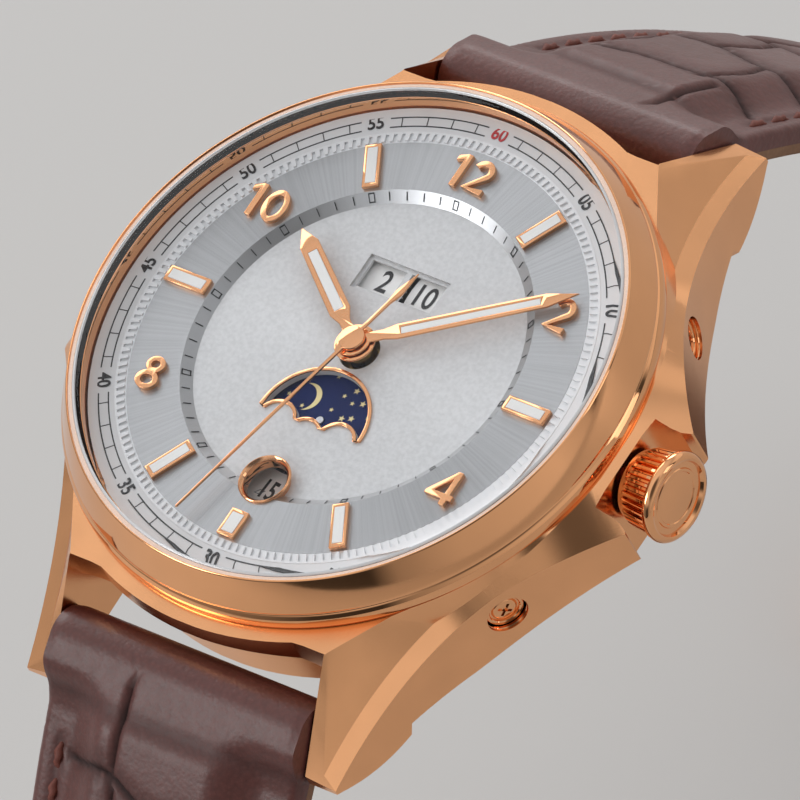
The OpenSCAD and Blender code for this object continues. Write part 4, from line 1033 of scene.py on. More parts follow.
    def _quarter(self, sx: int, sy: int, flip: bool) -> list[list[Point]]:
        """Sections of one quarter of the case, in order round the case.

        Args:
            sx: 1 for the right half, -1 for the left.
            sy: 1 for the upper half, -1 for the lower.
            flip: whether the order is turned round.

        Returns:
            The sections, mirrored into their quarter.
        """
        rows = [self._end_section(self.lug_gap / 2 * k / self.end_steps) for k in range(1, self.end_steps + 1)]
        rows.append(self._lug_wall_section())
        rows += [self._flank_section(k / self.steps, sx > 0) for k in range(self.steps + 1)]
        rows = [[(sx * p[0], sy * p[1], p[2]) for p in row] for row in rows]
        return rows[::-1] if flip else rows

    def _cutter(self, name: str, radius: float, start: Vector, axis: Vector, length: float,
                segments: int = 64) -> bpy.types.Object:
        """Makes a round cutter.

        Args:
            name: the cutter's name.
            radius: its radius.
            start: where it begins.
            axis: the direction in which it runs.
            length: its length.
            segments: steps around.

        Returns:
            The cutter, a closed mesh.
        """
        obj = lathe(name, [(0.0001, 0.0), (radius, 0.0), (radius, length), (0.0001, length)], segments)
        turn = axis.to_track_quat("Z", "Y").to_matrix().to_4x4()
        obj.data.transform(Matrix.Translation(start * MM) @ turn)
        return obj

    def _recess_cutter(self) -> bpy.types.Object:
        """Makes the cutter of the crown recess, flared at its mouth so that the guards end round.

        Returns:
            The cutter, a closed mesh.
        """
        half = self.recess_half
        side = [(20.3, half), (21.3, half), (21.9, half + 0.08), (22.4, half + 0.36), (22.75, half + 0.9),
                (23.4, half + 2.2)]
        outline = [(x, -y) for x, y in side] + [(x, y) for x, y in reversed(side)]
        return slab("recess_cut", outline, -2.0, 18.0)

    def _round_edges(self, body: bpy.types.Object) -> None:
        """Rounds the sharp edges, wider round the crown recess.

        Args:
            body: the case middle, changed in place.
        """
        mesh = body.data
        weight = mesh.attributes.new("bevel_weight_edge", "FLOAT", "EDGE")
        bm = bmesh.new()
        bm.from_mesh(mesh)
        bm.edges.ensure_lookup_table()
        values = []
        for edge in bm.edges:
            sharp = len(edge.link_faces) == 2 and edge.calc_face_angle(0.0) > math.radians(13)
            mid = (edge.verts[0].co + edge.verts[1].co) / 2 / MM
            recess = mid.x > 20.0 and abs(mid.y) < self.recess_half + 1.2 and mid.z > 4.0
            values.append(0.0 if not sharp else 0.9 if recess else 0.5)
        bm.free()
        weight.data.foreach_set("value", values)
        bevel = body.modifiers.new("edges", "BEVEL")
        bevel.width = self.edge_round * MM
        bevel.segments = 2
        bevel.limit_method = "WEIGHT"
        bevel.use_clamp_overlap = True
        apply_modifiers(body)

    def middle(self) -> bpy.types.Object:
        """Builds the case middle.

        Returns:
            The case middle with recesses and holes.
        """
        rows = self._quarter(1, 1, False) + self._quarter(1, -1, True)
        rows += self._quarter(-1, -1, False) + self._quarter(-1, 1, True)
        n = len(rows[0])
        verts = [p for row in rows for p in row]
        faces = []
        m = len(rows)
        for i in range(m):
            k = (i + 1) % m
            for j in range(n):
                q = (j + 1) % n
                faces.append((i * n + j, i * n + q, k * n + q, k * n + j))
        body = build_mesh("case_shell", verts, faces, 30)
        tube = self._cutter("tube_cut", 1.2, Vector((16.3, 0, 5.95)), Vector((1, 0, 0)), 5.0)
        cut_away(body, [self._recess_cutter(), tube])
        self._round_edges(body)
        cutters = []
        for sy in (-1, 1):
            turn = math.radians(CORRECTOR_TURN)
            axis = Vector((math.cos(turn), sy * math.sin(turn), 0))
            at = Vector((CORRECTOR_X, sy * CORRECTOR_Y, 4.95))
            cutters.append(self._cutter("pusher_cut", 1.36, at - axis * 2.4, axis, 6.0))
            for sx in (-1, 1):
                start = Vector((sx * (self.lug_gap / 2 - 0.2), sy * self.bar_y, self.bar_z))
                cutters.append(self._cutter("bar_cut", 0.46, start, Vector((sx, 0, 0)),
                                            self.bar_tip_x + 0.25 - self.lug_gap / 2, 32))
        cut_away(body, cutters)
        mark_sharp(body.data, 8)
        body.modifiers.new("normals", "WEIGHTED_NORMAL").keep_sharp = True
        apply_modifiers(body)
        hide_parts("case_middle")
        return dress(body, self.finishes.soft_gold, Body.HEAD)

    def bezel(self) -> bpy.types.Object:
        """Builds the polished bezel, with a small ledge above its foot.

        Returns:
            The bezel.
        """
        r, lip, top, base, inner = self.bezel_r, 18.32, self.bezel_top, self.top_z, 17.6
        outline = [(inner, base), (r - 0.06, base), (r - 0.02, base + 0.1), (r, base + 0.2), (r, base + 0.5),
                   (r - 0.05, base + 0.72), (r - 0.2, base + 0.98), (r - 0.3, base + 1.08), (r - 0.3, base + 1.2),
                   (lip + 0.12, top - 0.05), (lip + 0.04, top), (lip, top),
                   (lip, top - 1.0), (inner, top - 1.0)]
        piece = lathe("bezel_finish", rounded(outline, 0.06, 3), 256, degrees=40)
        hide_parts("bezel")
        return dress(piece, self.finishes.polished, Body.HEAD)

    def crystal(self) -> bpy.types.Object:
        """Builds the domed crystal and a pale opaque ring at its edge, whose colour is a painted reflection of the
        crystal's polished edge.

        Returns:
            The ring.
        """
        r, low, top, rings = 18.02, 11.0, self.bezel_top, 14
        dome = [(r, low), (r, top - 0.08), (r - 0.15, top + 0.05), (r - 0.5, top + 0.15)]
        for k in range(1, rings):
            share = 1 - k / rings
            dome.append(((r - 0.5) * share, top + 0.15 + 0.2 * (1 - share ** 2)))
        dome += [(0.001, top + 0.35), (0.001, low)]
        piece = lathe("crystal_dome", dome, 192, degrees=30)
        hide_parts("crystal")
        dress(piece, self.finishes.crystal, Body.HEAD)
        # A pale ring standing for the crystal's edge, its colour a painted reflection of the polished edge
        edge = [(17.78, top - 0.28), (18.0, top - 0.28), (18.0, top - 0.1), (17.84, top)]
        ring = lathe("crystal_edge_painted_reflection", rounded(edge, 0.03, 2), 192)
        return dress(ring, self.finishes.edge, Body.HEAD)

    def back(self) -> None:
        """Dresses the case back."""
        dress(softened("case_back_ring", 0.06), self.finishes.satin, Body.HEAD)
        dress_nodes(["case_back_glass"], self.finishes.back_glass)
        dress_nodes(["case_back_gasket", "crown_gasket"], self.finishes.rubber)
        dress_nodes(["crystal_gasket"], self.finishes.seat_ring)

    def build(self) -> None:
        """Builds every piece of the case."""
        self.middle()
        self.bezel()
        self.crystal()
        self.back()
        LOG.info("case: middle, bezel, crystal and back")


# The dial


@dataclass
class Dial:
    """Dial plate, rings, applied markers and everything printed on them."""

    finishes: Finishes
    dial_z: float = 9.75
    disc_z: float = 9.2
    step_in: float = 10.9
    step_out: float = 11.6
    track_in: float = 16.22
    track_out: float = 16.86
    number_r: float = 16.6
    flange_in: float = 15.85
    flange_out: float = 17.5
    ink: float = 0.02
    line_half: float = 0.04
    tick_half: float = 0.03

    def _flange_z(self, r: float) -> float:
        """Height of the flange at a radius."""
        return self.dial_z + 0.1 + 0.15 * (r - self.flange_in) / (self.flange_out - self.flange_in)

    def _arc_band(self, r0: float, r1: float, a0: float, a1: float, height: Callable[[float], float],
                  steps: int) -> Band:
        """Makes a thin printed band between two radii and two clock angles.

        Args:
            r0: inner radius.
            r1: outer radius.
            a0: first clock angle.
            a1: last clock angle.
            height: height of the surface at a radius.
            steps: pieces along the band.

        Returns:
            The band's points and faces.
        """
        verts: list[Point] = []
        faces: list[tuple[int, ...]] = []
        for k in range(steps + 1):
            a = a0 + (a1 - a0) * k / steps
            for r in (r0, r1):
                x, y = clock(r, a)
                verts += [(x, y, height(r) - 0.01), (x, y, height(r) + self.ink)]
        for k in range(steps):
            b = k * 4
            c = b + 4
            faces += [(b + 1, b + 3, c + 3, c + 1), (b, c, c + 2, b + 2), (b, b + 1, c + 1, c),
                      (b + 2, c + 2, c + 3, b + 3)]
        faces += [(0, 2, 3, 1), (steps * 4, steps * 4 + 1, steps * 4 + 3, steps * 4 + 2)]
        return verts, faces

    def _collect(self, name: str, bands: Iterable[Band]) -> bpy.types.Object:
        """Joins printed bands into one piece.

        Args:
            name: the piece's name.
            bands: points and faces of each band.

        Returns:
            The piece.
        """
        verts: list[Point] = []
        faces: list[tuple[int, ...]] = []
        for v, f in bands:
            base = len(verts)
            verts += v
            faces += [tuple(base + i for i in q) for q in f]
        return build_mesh(name, verts, faces)

    def minute_track(self) -> None:
        """Prints the railway minute track on the flange, open at each number."""
        bands = []
        line = self.line_half
        w = math.degrees(self.tick_half / 16.5)
        for k in range(12):
            a0, a1 = 30 * k + 3.3, 30 * k + 26.7
            for r in (self.track_in, self.track_out):
                bands.append(self._arc_band(r - line, r + line, a0, a1, self._flange_z, 16))
            for m in range(1, 5):
                a = 30 * k + 6 * m
                bands.append(self._arc_band(self.track_in, self.track_out, a - w, a + w, self._flange_z, 1))
        dress(self._collect("minute_track", bands), self.finishes.ink, Body.HEAD)

    def minute_numbers(self) -> None:
        """Prints the five minute numbers."""
        black, red = [], []
        for k in range(12):
            value = 5 * k if k else 60
            a = 30 * k
            x, y = clock(self.number_r, a)
            turn = -a if value not in (20, 25, 30, 35, 40) else 180 - a
            place = Matrix.Translation((x, y, self._flange_z(self.number_r) + 0.01))
            place = place @ Matrix.Rotation(math.radians(turn), 4, "Z")
            piece = text_mesh("minute_number", f"{value:02d}", 1.25, place, 0.05, 0.9, 0.02)
            (red if value == 60 else black).append(piece)
        dress(join("minute_numbers", black), self.finishes.ink, Body.HEAD)
        dress(join("minute_number_top", red), self.finishes.red_ink, Body.HEAD)

    def hour_cone(self) -> None:
        """Prints the ticks and hour squares on the cone between the two dial levels."""
        slope = (self.dial_z - self.disc_z) / (self.step_out - self.step_in)

        def height(r: float) -> float:
            """Height just above the cone at a radius."""
            return self.disc_z + 0.03 + slope * (r - self.step_in)

        bands = []
        mid = (self.step_in + self.step_out) / 2
        for m in range(60):
            a = 6.0 * m
            if m % 5:
                w = math.degrees(self.tick_half / mid)
                bands.append(self._arc_band(mid - 0.2, mid + 0.22, a - w, a + w, height, 1))
                continue
            half = math.degrees(0.2 / mid)
            w = math.degrees(0.05 / mid)
            low, high, left, right = mid - 0.24, mid + 0.26, a - half, a + half
            for r0, r1, a0, a1 in ((low, mid - 0.18, left, right), (mid + 0.2, high, left, right),
                                   (low, high, left, left + w), (low, high, right - w, right)):
                bands.append(self._arc_band(r0, r1, a0, a1, height, 2))
        dress(self._collect("cone_scale", bands), self.finishes.ink, Body.HEAD)

    def build(self) -> None:
        """Dresses the plate and rings, rounds the applied pieces and prints the scales."""
        dress_nodes(["dial_plate"], self.finishes.dial)
        dress_nodes(["dial_flange"], self.finishes.flange)
        dress_nodes(["fluted_ring"], self.finishes.flutes)
        dress(softened("hour_markers", 0.05), self.finishes.polished, Body.HEAD)
        dress(softened("hour_numerals", 0.07), self.finishes.soft_gold, Body.HEAD)
        dress(softened("moon_window_frame", 0.04), self.finishes.polished, Body.HEAD)
        dress(softened("date_window_frame", 0.02), self.finishes.polished, Body.HEAD)
        dress_nodes(["lume_inlays"], self.finishes.lume)
        self.minute_track()
        self.minute_numbers()
        self.hour_cone()
        LOG.info("dial: plate, rings, markers and scales")


@dataclass
class CalendarDiscs:
    """Printed date, day and month discs and the starry moon disc."""

    finishes: Finishes
    date_z: float = 7.9
    small_z: float = 8.5
    date_r: float = 10.35
    date_turn: float = 4.0
    face_r: float = 5.84
    day_x: float = -6.0
    month_x: float = 6.0
    disc_y: float = 5.12
    moon_y: float = -5.0
    sky_r: float = 3.9
    crescent_x: float = -1.35
    crescent_y: float = 1.7
    crescent_r: float = 0.98
    crescent_bite: float = 0.37
    crescent_turn: float = 18.0
    stars: int = 13

    def date(self) -> None:
        """Prints the thirty one dates, upright in the window at six o'clock."""
        parts = []
        for d in range(31):
            value = (d + 14) % 31 + 1
            a = 180 + self.date_turn + d * 360 / 31
            x, y = clock(self.date_r, a)
            place = Matrix.Translation((x, y, self.date_z + 0.01))
            place = place @ Matrix.Rotation(math.radians(180 - a), 4, "Z")
            parts.append(text_mesh("date_figure", str(value), 1.9, place, 0.02, 0.66, 0.04))
        dress(join("date_figures", parts), self.finishes.ink, Body.DATE)

    def _ring(self, name: str, centre_x: float, window_x: float, words: Sequence[str], body: Body,
              toward: float) -> None:
        """Prints figures round a small disc so that the first one shows in its window.

        Args:
            name: start of the pieces' names.
            centre_x: sideways place of the disc's axis.
            window_x: sideways place of the window's middle.
            words: the figures, the one in the window first.
            body: the disc's body.
            toward: 1 where the window lies to the right of the axis, -1 where it lies to the left.
        """
        parts = []
        reach = abs(window_x - centre_x)
        for k, word in enumerate(words):
            turn = 360 * k / len(words)
            place = Matrix.Translation((centre_x, self.disc_y, self.small_z + 0.04))
            place = place @ Matrix.Rotation(math.radians(turn), 4, "Z")
            place = place @ Matrix.Translation((toward * reach, 0.0, 0.0)) @ Matrix.Shear("XY", 4, (0.22, 0.0))
            parts.append(text_mesh(name + "_figure", word, 2.2, place, 0.02, 0.8, 0.03))
        dress(join(name + "_figures", parts), self.finishes.ink, body)
        face = lathe(name + "_face", [(0.4, 0.0), (self.face_r, 0.0), (self.face_r, 0.025), (0.4, 0.025)], 128,
                     (centre_x, self.disc_y, self.small_z))
        dress(face, self.finishes.white, body)

    def _crescent(self, turn: float) -> list[Flat]:
        """Outlines the crescent between two shifted circles.

        Args:
            turn: clockwise turn about the disc's axis.

        Returns:
            The closed outline.
        """
        arcs = [(self.crescent_x, math.radians(-100 + 200 * k / 20)) for k in range(21)]
        arcs += [(self.crescent_x - self.crescent_bite, math.radians(79 - 158 * k / 20)) for k in range(1, 20)]
        r = self.crescent_r
        outline = [spin_flat((x + r * math.cos(a), self.crescent_y + r * math.sin(a)), turn - self.crescent_turn)
                   for x, a in arcs]
        return [(x, y + self.moon_y) for x, y in outline]

    def _star(self, at: Flat, size: float) -> list[Flat]:
        """Outlines a star of five points.

        Args:
            at: its middle.
            size: its outer radius.

        Returns:
            The closed outline.
        """
        outline = []
        for k in range(10):
            r, a = size * (1.0 if k % 2 == 0 else 0.42), math.radians(90 + 36 * k)
            outline.append((at[0] + r * math.cos(a), at[1] + self.moon_y + r * math.sin(a)))
        return outline

    def moon(self) -> None:
        """Lays the crescent and the stars on the night disc, one set for each half turn."""
        z = self.small_z
        low, high = z + 0.01, z + 0.05
        parts = []
        for turn in (0.0, 180.0):
            parts.append(slab("crescent", self._crescent(turn), low, high))
            rng = random.Random(4)
            spots: list[Flat] = []
            while len(spots) < self.stars:
                r, a = rng.uniform(0.8, 3.5), rng.uniform(10, 170)
                p = (r * math.cos(math.radians(a)), r * math.sin(math.radians(a)))
                if math.dist(p, (-1.2, 1.7)) > 1.25 and all(math.dist(p, q) > 0.62 for q in spots):
                    spots.append(p)
            for i, p in enumerate(spots):
                size = 0.24 if i % 3 == 0 else 0.17
                parts.append(slab("star", self._star(spin_flat(p, turn), size), low, high))
        dress(join("moon_and_stars", parts), self.finishes.moon_gold, Body.MOON)
        profile = [(0.35, 0.0), (self.sky_r, 0.0), (self.sky_r, 0.02), (0.35, 0.02)]
        sky = lathe("moon_sky", profile, 96, (0.0, self.moon_y, z))
        dress(sky, self.finishes.night, Body.MOON)

    def build(self) -> None:
        """Dresses the discs and prints them."""
        dress_nodes(["date_disc", "day_disc", "month_disc"], self.finishes.white)
        dress_nodes(["moon_disc"], self.finishes.night)
        self.date()
        days = [str((k + 1) % 7 + 1) for k in range(7)]
        months = [str((k + 9) % 12 + 1) for k in range(12)]
        self._ring("day", self.day_x, -1.85, days, Body.DAY, 1.0)
        self._ring("month", self.month_x, 1.25, months, Body.MONTH, -1.0)
        self.moon()
        LOG.info("calendar: date, day, month and moon discs")


@dataclass
class Hands:
    """Hour, minute and seconds hands with their white inlays."""

    finishes: Finishes
    hour_angle: float = 305.5
    minute_angle: float = 55.4
    hour_z: float = 10.0
    minute_z: float = 10.25
    thick: float = 0.15

    def _inlay(self, name: str, half_w: float, y0: float, y1: float, z: float, angle: float, body: Body) -> None:
        """Lays a white strip in the channel of a hand.

        Args:
            name: the strip's name.
            half_w: half its width at the root.
            y0: where it starts, measured from the middle.
            y1: where it ends.
            z: height of the hand's underside.
            angle: the hand's clock angle.
            body: the hand's body.
        """
        tip_w = half_w * 0.94
        outline = [spin_flat(p, angle) for p in ((-half_w, y0), (half_w, y0), (tip_w, y1), (-tip_w, y1))]
        dress(slab(name, outline, z + 0.07, z + self.thick - 0.01, 0.015), self.finishes.lume, body)

    def build(self) -> None:
        """Rounds the hands and lays in the strips."""
        dress(softened("hour_hand", 0.035), self.finishes.polished, Body.HOURS)
        dress(softened("minute_hand", 0.035), self.finishes.polished, Body.MINUTES)
        dress(softened("seconds_hand", 0.02), self.finishes.polished, Body.SECONDS)
        self._inlay("hour_inlay", 0.33, 2.97, 8.13, self.hour_z, self.hour_angle, Body.HOURS)
        self._inlay("minute_inlay", 0.24, 3.12, 12.18, self.minute_z, self.minute_angle, Body.MINUTES)
        LOG.info("hands: hour, minute and seconds")


@dataclass
class CrownSet:
    """Crown, stem, tube and the two correctors."""

    finishes: Finishes
    stem_z: float = 5.95
    start_x: float = 20.55
    end_x: float = 23.6
    grip_r: float = 2.72
    rim_r: float = 2.95
    flutes: int = 32

    def _lay_down(self, obj: bpy.types.Object) -> bpy.types.Object:
        """Turns a piece that stands on Z so that it points to the right at the stem's height."""
        turn = Matrix.Translation((0.0, 0.0, self.stem_z * MM)) @ Matrix.Rotation(math.pi / 2, 4, "Y")
        obj.data.transform(turn)
        return obj

    def crown(self) -> None:
        """Builds the fluted grip with its bright rim and bare recessed end."""
        outline: list[Flat] = []
        for i in range(self.flutes):
            for at, drop in ((-0.36, 0.36), (-0.3, 0.1), (-0.16, 0.0), (0.16, 0.0), (0.3, 0.1), (0.36, 0.36)):
                outline.append((2 * math.pi * (i + at) / self.flutes, self.grip_r - drop))
        n = len(outline)
        levels = ((self.start_x + 0.35, 0.88), (self.start_x + 0.6, 0.93), (self.end_x - 0.75, 1.0))
        verts = [(r * f * math.cos(a), r * f * math.sin(a), z) for z, f in levels for a, r in outline]
        faces = [(k * n + i, k * n + (i + 1) % n, (k + 1) * n + (i + 1) % n, (k + 1) * n + i)
                 for k in range(2) for i in range(n)]
        faces += [tuple(range(n - 1, -1, -1)), tuple(2 * n + i for i in range(n))]
        grip = self._lay_down(build_mesh("crown_grip", verts, faces, 25))
        x, r = self.end_x, self.rim_r
        head = [(0.001, x - 0.8), (self.grip_r - 0.5, x - 0.8), (r - 0.14, x - 0.74), (r - 0.03, x - 0.62),
                (r, x - 0.5), (r, x - 0.34), (r - 0.06, x - 0.2), (r - 0.2, x - 0.05), (r - 0.36, x),
                (r - 0.5, x - 0.05), (r - 0.6, x - 0.26), (1.95, x - 0.26), (1.9, x - 0.2), (1.72, x - 0.2),
                (1.67, x - 0.26), (0.001, x - 0.22)]
        cap = self._lay_down(lathe("crown_head", head, 96, degrees=30))
        root = self.start_x + 0.45
        neck = [(0.001, self.start_x), (self.grip_r - 0.5, self.start_x), (self.grip_r - 0.38, root), (0.001, root)]
        base = self._lay_down(lathe("crown_neck", neck, 96))
        piece = join("crown_finish", [grip, cap, base])
        mark_sharp(piece.data, 32)
        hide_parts("crown")
        dress(piece, self.finishes.polished, Body.CROWN)

    def corrector(self, name: str, side: int, body: Body) -> None:
        """Builds one corrector with a raised rim and a slot across its face.

        Args:
            name: the CAD node.
            side: 1 towards two o'clock, -1 towards four o'clock.
            body: the body it rides on.
        """
        head = [(0.001, -1.6), (1.28, -1.6), (1.28, -0.42), (1.2, -0.34), (1.04, -0.34), (0.98, -0.4),
                (0.95, -0.52), (0.86, -0.52), (0.8, -0.42), (0.7, -0.36), (0.001, -0.34)]
        piece = lathe(name + "_finish", head, 96, degrees=30)
        stem = lathe(name + "_stem", [(0.001, -5.2), (0.5, -5.2), (0.5, -1.58), (0.001, -1.58)], 48)
        cuts = []
        for turn in (45, -45):
            bar = [spin_flat(p, turn) for p in ((-0.1, -0.5), (0.1, -0.5), (0.1, 0.5), (-0.1, 0.5))]
            cuts.append(slab("slot_bar", bar, -0.52, 0.1))
        cut_away(piece, cuts)
        piece = join(name + "_finish", [piece, stem])
        place = Matrix.Translation((CORRECTOR_X * MM, side * CORRECTOR_Y * MM, 5.0 * MM))
        place = place @ Matrix.Rotation(math.radians(side * CORRECTOR_TURN), 4, "Z")
        place = place @ Matrix.Rotation(math.pi / 2, 4, "Y")
        piece.data.transform(place)
        mark_sharp(piece.data, 30)
        collar = [(1.36, -0.7), (1.78, -0.7), (1.78, -0.12), (1.7, -0.05), (1.6, -0.05), (1.52, -0.12),
                  (1.46, -0.1), (1.36, -0.2)]
        ring = lathe(name + "_ring", collar, 96, degrees=30)
        ring.data.transform(place)
        dress(ring, self.finishes.polished, Body.HEAD)
        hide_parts(name)
        dress(piece, self.finishes.polished, body)

    def build(self) -> None:
        """Rounds and dresses the winding and setting pieces."""
        self.crown()
        dress_nodes(["crown_tube"], self.finishes.polished)
        dress_nodes(["winding_stem"], self.finishes.bright_steel)
        self.corrector("corrector_2", 1, Body.PUSHER_2)
        self.corrector("corrector_4", -1, Body.PUSHER_4)
        LOG.info("crown: crown, tube, stem and correctors")


@dataclass
class Movement:
    """Plates, bridges, train, balance and rotor seen through the back."""

    finishes: Finishes

    def build(self) -> None:
        """Dresses the movement."""
        f = self.finishes
        dress_nodes(["main_plate", "movement_ring", "rotor_bearing", "spring_bars"], f.steel)
        dress_nodes(["barrel_bridge", "train_bridge", "pallet_bridge", "balance_cock"], f.striped)
        dress_nodes(["rotor"], f.striped)
        dress_nodes(["hour_wheel", "minute_wheel", "fourth_wheel", "third_wheel", "second_wheel",
                     "mainspring_barrel", "balance_wheel"], f.brass)
        dress_nodes(["cannon_pinion", "escape_wheel", "pallet_fork"], f.bright_steel)
        dress_nodes(["jewels"], f.ruby)
        dress_nodes(["movement_screws", "hairspring"], f.blued)
        LOG.info("movement: plates, train, balance and rotor")


# The strap


@dataclass(frozen=True)
class Route:
    """Line that a strap half follows, in the plane across the lugs."""

    side: int
    start: float
    segments: tuple[tuple[float, float], ...]
    bar_y: float = 22.5
    bar_z: float = 4.2

    def at(self, s: float) -> tuple[float, float, float]:
        """Finds the point at a distance along the strap.

        Args:
            s: distance from the spring bar, in millimetres.

        Returns:
            The outward distance, the height and the heading below level in degrees.
        """
        y, z, h = self.bar_y, self.bar_z, self.start
        for i, (length, turn) in enumerate(self.segments):
            step = s if i == len(self.segments) - 1 or s <= length else length
            if turn == 0:
                y, z = y + step * math.cos(math.radians(h)), z - step * math.sin(math.radians(h))
            else:
                r = length / math.radians(turn)
                h2 = h + turn * step / length
                y += r * (math.sin(math.radians(h2)) - math.sin(math.radians(h)))
                z += r * (math.cos(math.radians(h2)) - math.cos(math.radians(h)))
                h = h2
            if step == s:
                break
            s -= step
        return y, z, h

    def place(self, s: float, x: float, up: float, along: float = 0.0) -> Point:
        """Point of the strap in the watch's frame.

        Args:
            s: distance from the spring bar.
            x: sideways place.
            up: height above the strap's middle line.
            along: a shift along the heading.

        Returns:
            The point in millimetres.
        """
        y, z, h = self.at(s)
        a = math.radians(h)
        yy = y + up * math.sin(a) + along * math.cos(a)
        zz = z + up * math.cos(a) - along * math.sin(a)
        return x, self.side * yy, zz


def smooth01(t: float) -> float:
    """Smooth step between 0 and 1."""
    t = min(1.0, max(0.0, t))
    return t * t * (3 - 2 * t)


@dataclass
class StrapHalf:
    """One padded strap half: embossed upper, lining and stitches."""

    finishes: Finishes
    route: Route
    length: float
    body: Body
    buckle_end: bool
    name: str
    seed: int
    strap_w: float = 19.9
    end_w: float = 18.0
    edge_t: float = 1.2
    lining_t: float = 0.8
    roll_r: float = 2.1
    pad_rise: float = 1.1
    tilt: float = 0.12
    under: float = -0.3
    stitch_in: float = 1.6
    stitch_start: float = 6.2
    roll_rows: int = 15
    hole_r: float = 0.9
    hole_s: tuple[float, ...] = ()
    slot_w: float = 0.0
    row_list: list[float] = field(init=False)
    column_list: list[list[float]] = field(init=False)
    first_split: float = field(init=False)

    def __post_init__(self) -> None:
        """Lays out the embossed scales: crease rows across and splits along the strap."""
        self.row_list = self._rows()
        rng = random.Random(self.seed + 7)
        self.column_list = []
        for _ in self.row_list:
            if rng.choice((1, 2, 2)) == 1:
                self.column_list.append([rng.uniform(-2.5, 2.5)])
            else:
                self.column_list.append([rng.uniform(-4.6, -2.2), rng.uniform(2.2, 4.6)])
        self.first_split = 4.6 if self.seed % 2 else -3.0

    def half_width(self, s: float) -> float:
        """Finds half the strap's width.

        Args:
            s: distance from the bar.

        Returns:
            Half the width, less towards the round tip of the half with the holes.
        """
        w = (self.strap_w + (self.end_w - self.strap_w) * min(1.0, max(0.0, s) / 70)) / 2
        if not self.buckle_end:
            tip = max(0.0, (s - self.length + 11) / 11)
            w = max(2.4, w * math.sqrt(max(0.04, 1 - tip ** 2.4)))
        return w

    def pad(self, s: float) -> float:
        """Height of the padding in the middle."""
        end = 6.0 if self.buckle_end else 12.0
        return (0.35 + self.pad_rise * max(0.0, 1 - s / 60)) * min(1.0, max(0.0, (self.length - s) / end))

    def _rows(self) -> list[float]:
        """Spaces the crease rows across the strap.

        Returns:
            Their distances from the bar.
        """
        rng = random.Random(self.seed)
        rows = [7.2]
        while rows[-1] < self.length - 6:
            rows.append(rows[-1] + rng.uniform(7.0, 8.6) * (1 - 0.25 * rows[-1] / self.length))
        return rows

    def _creases(self, s: float, x: float) -> float:
        """Finds the depth of the embossed creases at a point.

        Args:
            s: distance from the bar.
            x: sideways place.

        Returns:
            The depth, from 0 to 1.
        """
        w = self.half_width(s)
        inner = 1 - smooth01((abs(x) - (w - 2.9)) / 0.9)
        depth = 0.0
        bend = 0.9 * math.cos(x / w * 1.4) - 0.5 + 0.25 * math.sin(x * 0.9 + self.seed)
        rows = self.row_list
        leaning = [r + bend * 1.2 + self.tilt * x * (1.0 if k % 2 == 0 else -0.5) for k, r in enumerate(rows)]
        for k, r in enumerate(leaning):
            d = abs(s - r - 0.35 * math.sin(x * 0.55 + k * 1.9))
            depth = max(depth, math.exp(-(d / 0.28) ** 2))
            depth = max(depth, 0.35 * math.exp(-(d / 0.9) ** 2))
        for k in range(len(rows) - 1):
            if not rows[k] <= s - bend * 0.5 <= rows[k + 1]:
                continue
            for cx in self.column_list[k]:
                lean = 0.4 * math.sin(s * 0.7 + k)
                d = abs(x - cx - lean)
                depth = max(depth, 0.9 * math.exp(-(d / 0.24) ** 2))
                depth = max(depth, 0.25 * math.exp(-(d / 0.8) ** 2))
        if 0.2 < s < rows[0]:
            d = abs(x - self.first_split)
            depth = max(depth, 0.8 * math.exp(-(d / 0.22) ** 2))
        ripple = noise.noise(Vector((x * 1.7, s * 2.6, self.seed))) + 0.5 * noise.noise(Vector((x * 4.0, s * 4.6, 3.0)))
        near = max(math.exp(-((s - r) / 1.3) ** 2) for r in leaning)
        return min(1.0, depth * inner + 0.22 * near * abs(ripple) + 0.05 * abs(ripple))

    def _top(self, s: float, x: float) -> tuple[float, float]:
        """Height of the upper surface and crease depth at a point.

        Args:
            s: distance from the bar.
            x: sideways place.

        Returns:
            The height above the middle line and the crease depth.
        """
        w = self.half_width(s)
        base = self.edge_t + self.under
        crown = 0.26 + self.pad(s)
        plateau = smooth01((w - abs(x) - 2.3) / 3.6)
        h = base + crown * plateau
        round_edge = max(0.0, 1 - (w - abs(x)) / 0.5)
        h -= 0.28 * round_edge ** 2
        near = smooth01((s - 1.0) / 3.4)
        h = h * near + (self.roll_r + 0.05) * (1 - near)
        groove = math.exp(-((s - 2.9) / 0.6) ** 2)
        h -= 0.16 * groove
        c = self._creases(s, x)
        stitch_line = math.exp(-((abs(x) - (w - self.stitch_in)) / 0.4) ** 2) * smooth01((s - 5.4) / 1.0)
        h -= 0.38 * c + 0.16 * stitch_line
        return h, min(1.0, c + 0.3 * stitch_line + 0.35 * groove)

    def upper(self) -> bpy.types.Object:
        """Builds the embossed upper with its rolled end.

        Returns:
            The upper, pierced and padded.
        """
        coarse = 0.45
        fine = 0.22
        nx = 84
        stations: list[float] = []
        s = 1.0
        while s < self.length - 0.2:
            stations.append(s)
            s += fine if s < 45 else coarse
        stations.append(self.length)
        verts: list[Point] = []
        creases: list[float] = []
        grid: list[list[int]] = []

        def put(point: Point, crease: float) -> int:
            """Adds a point with its crease depth and gives its number."""
            verts.append(point)
            creases.append(crease)
            return len(verts) - 1

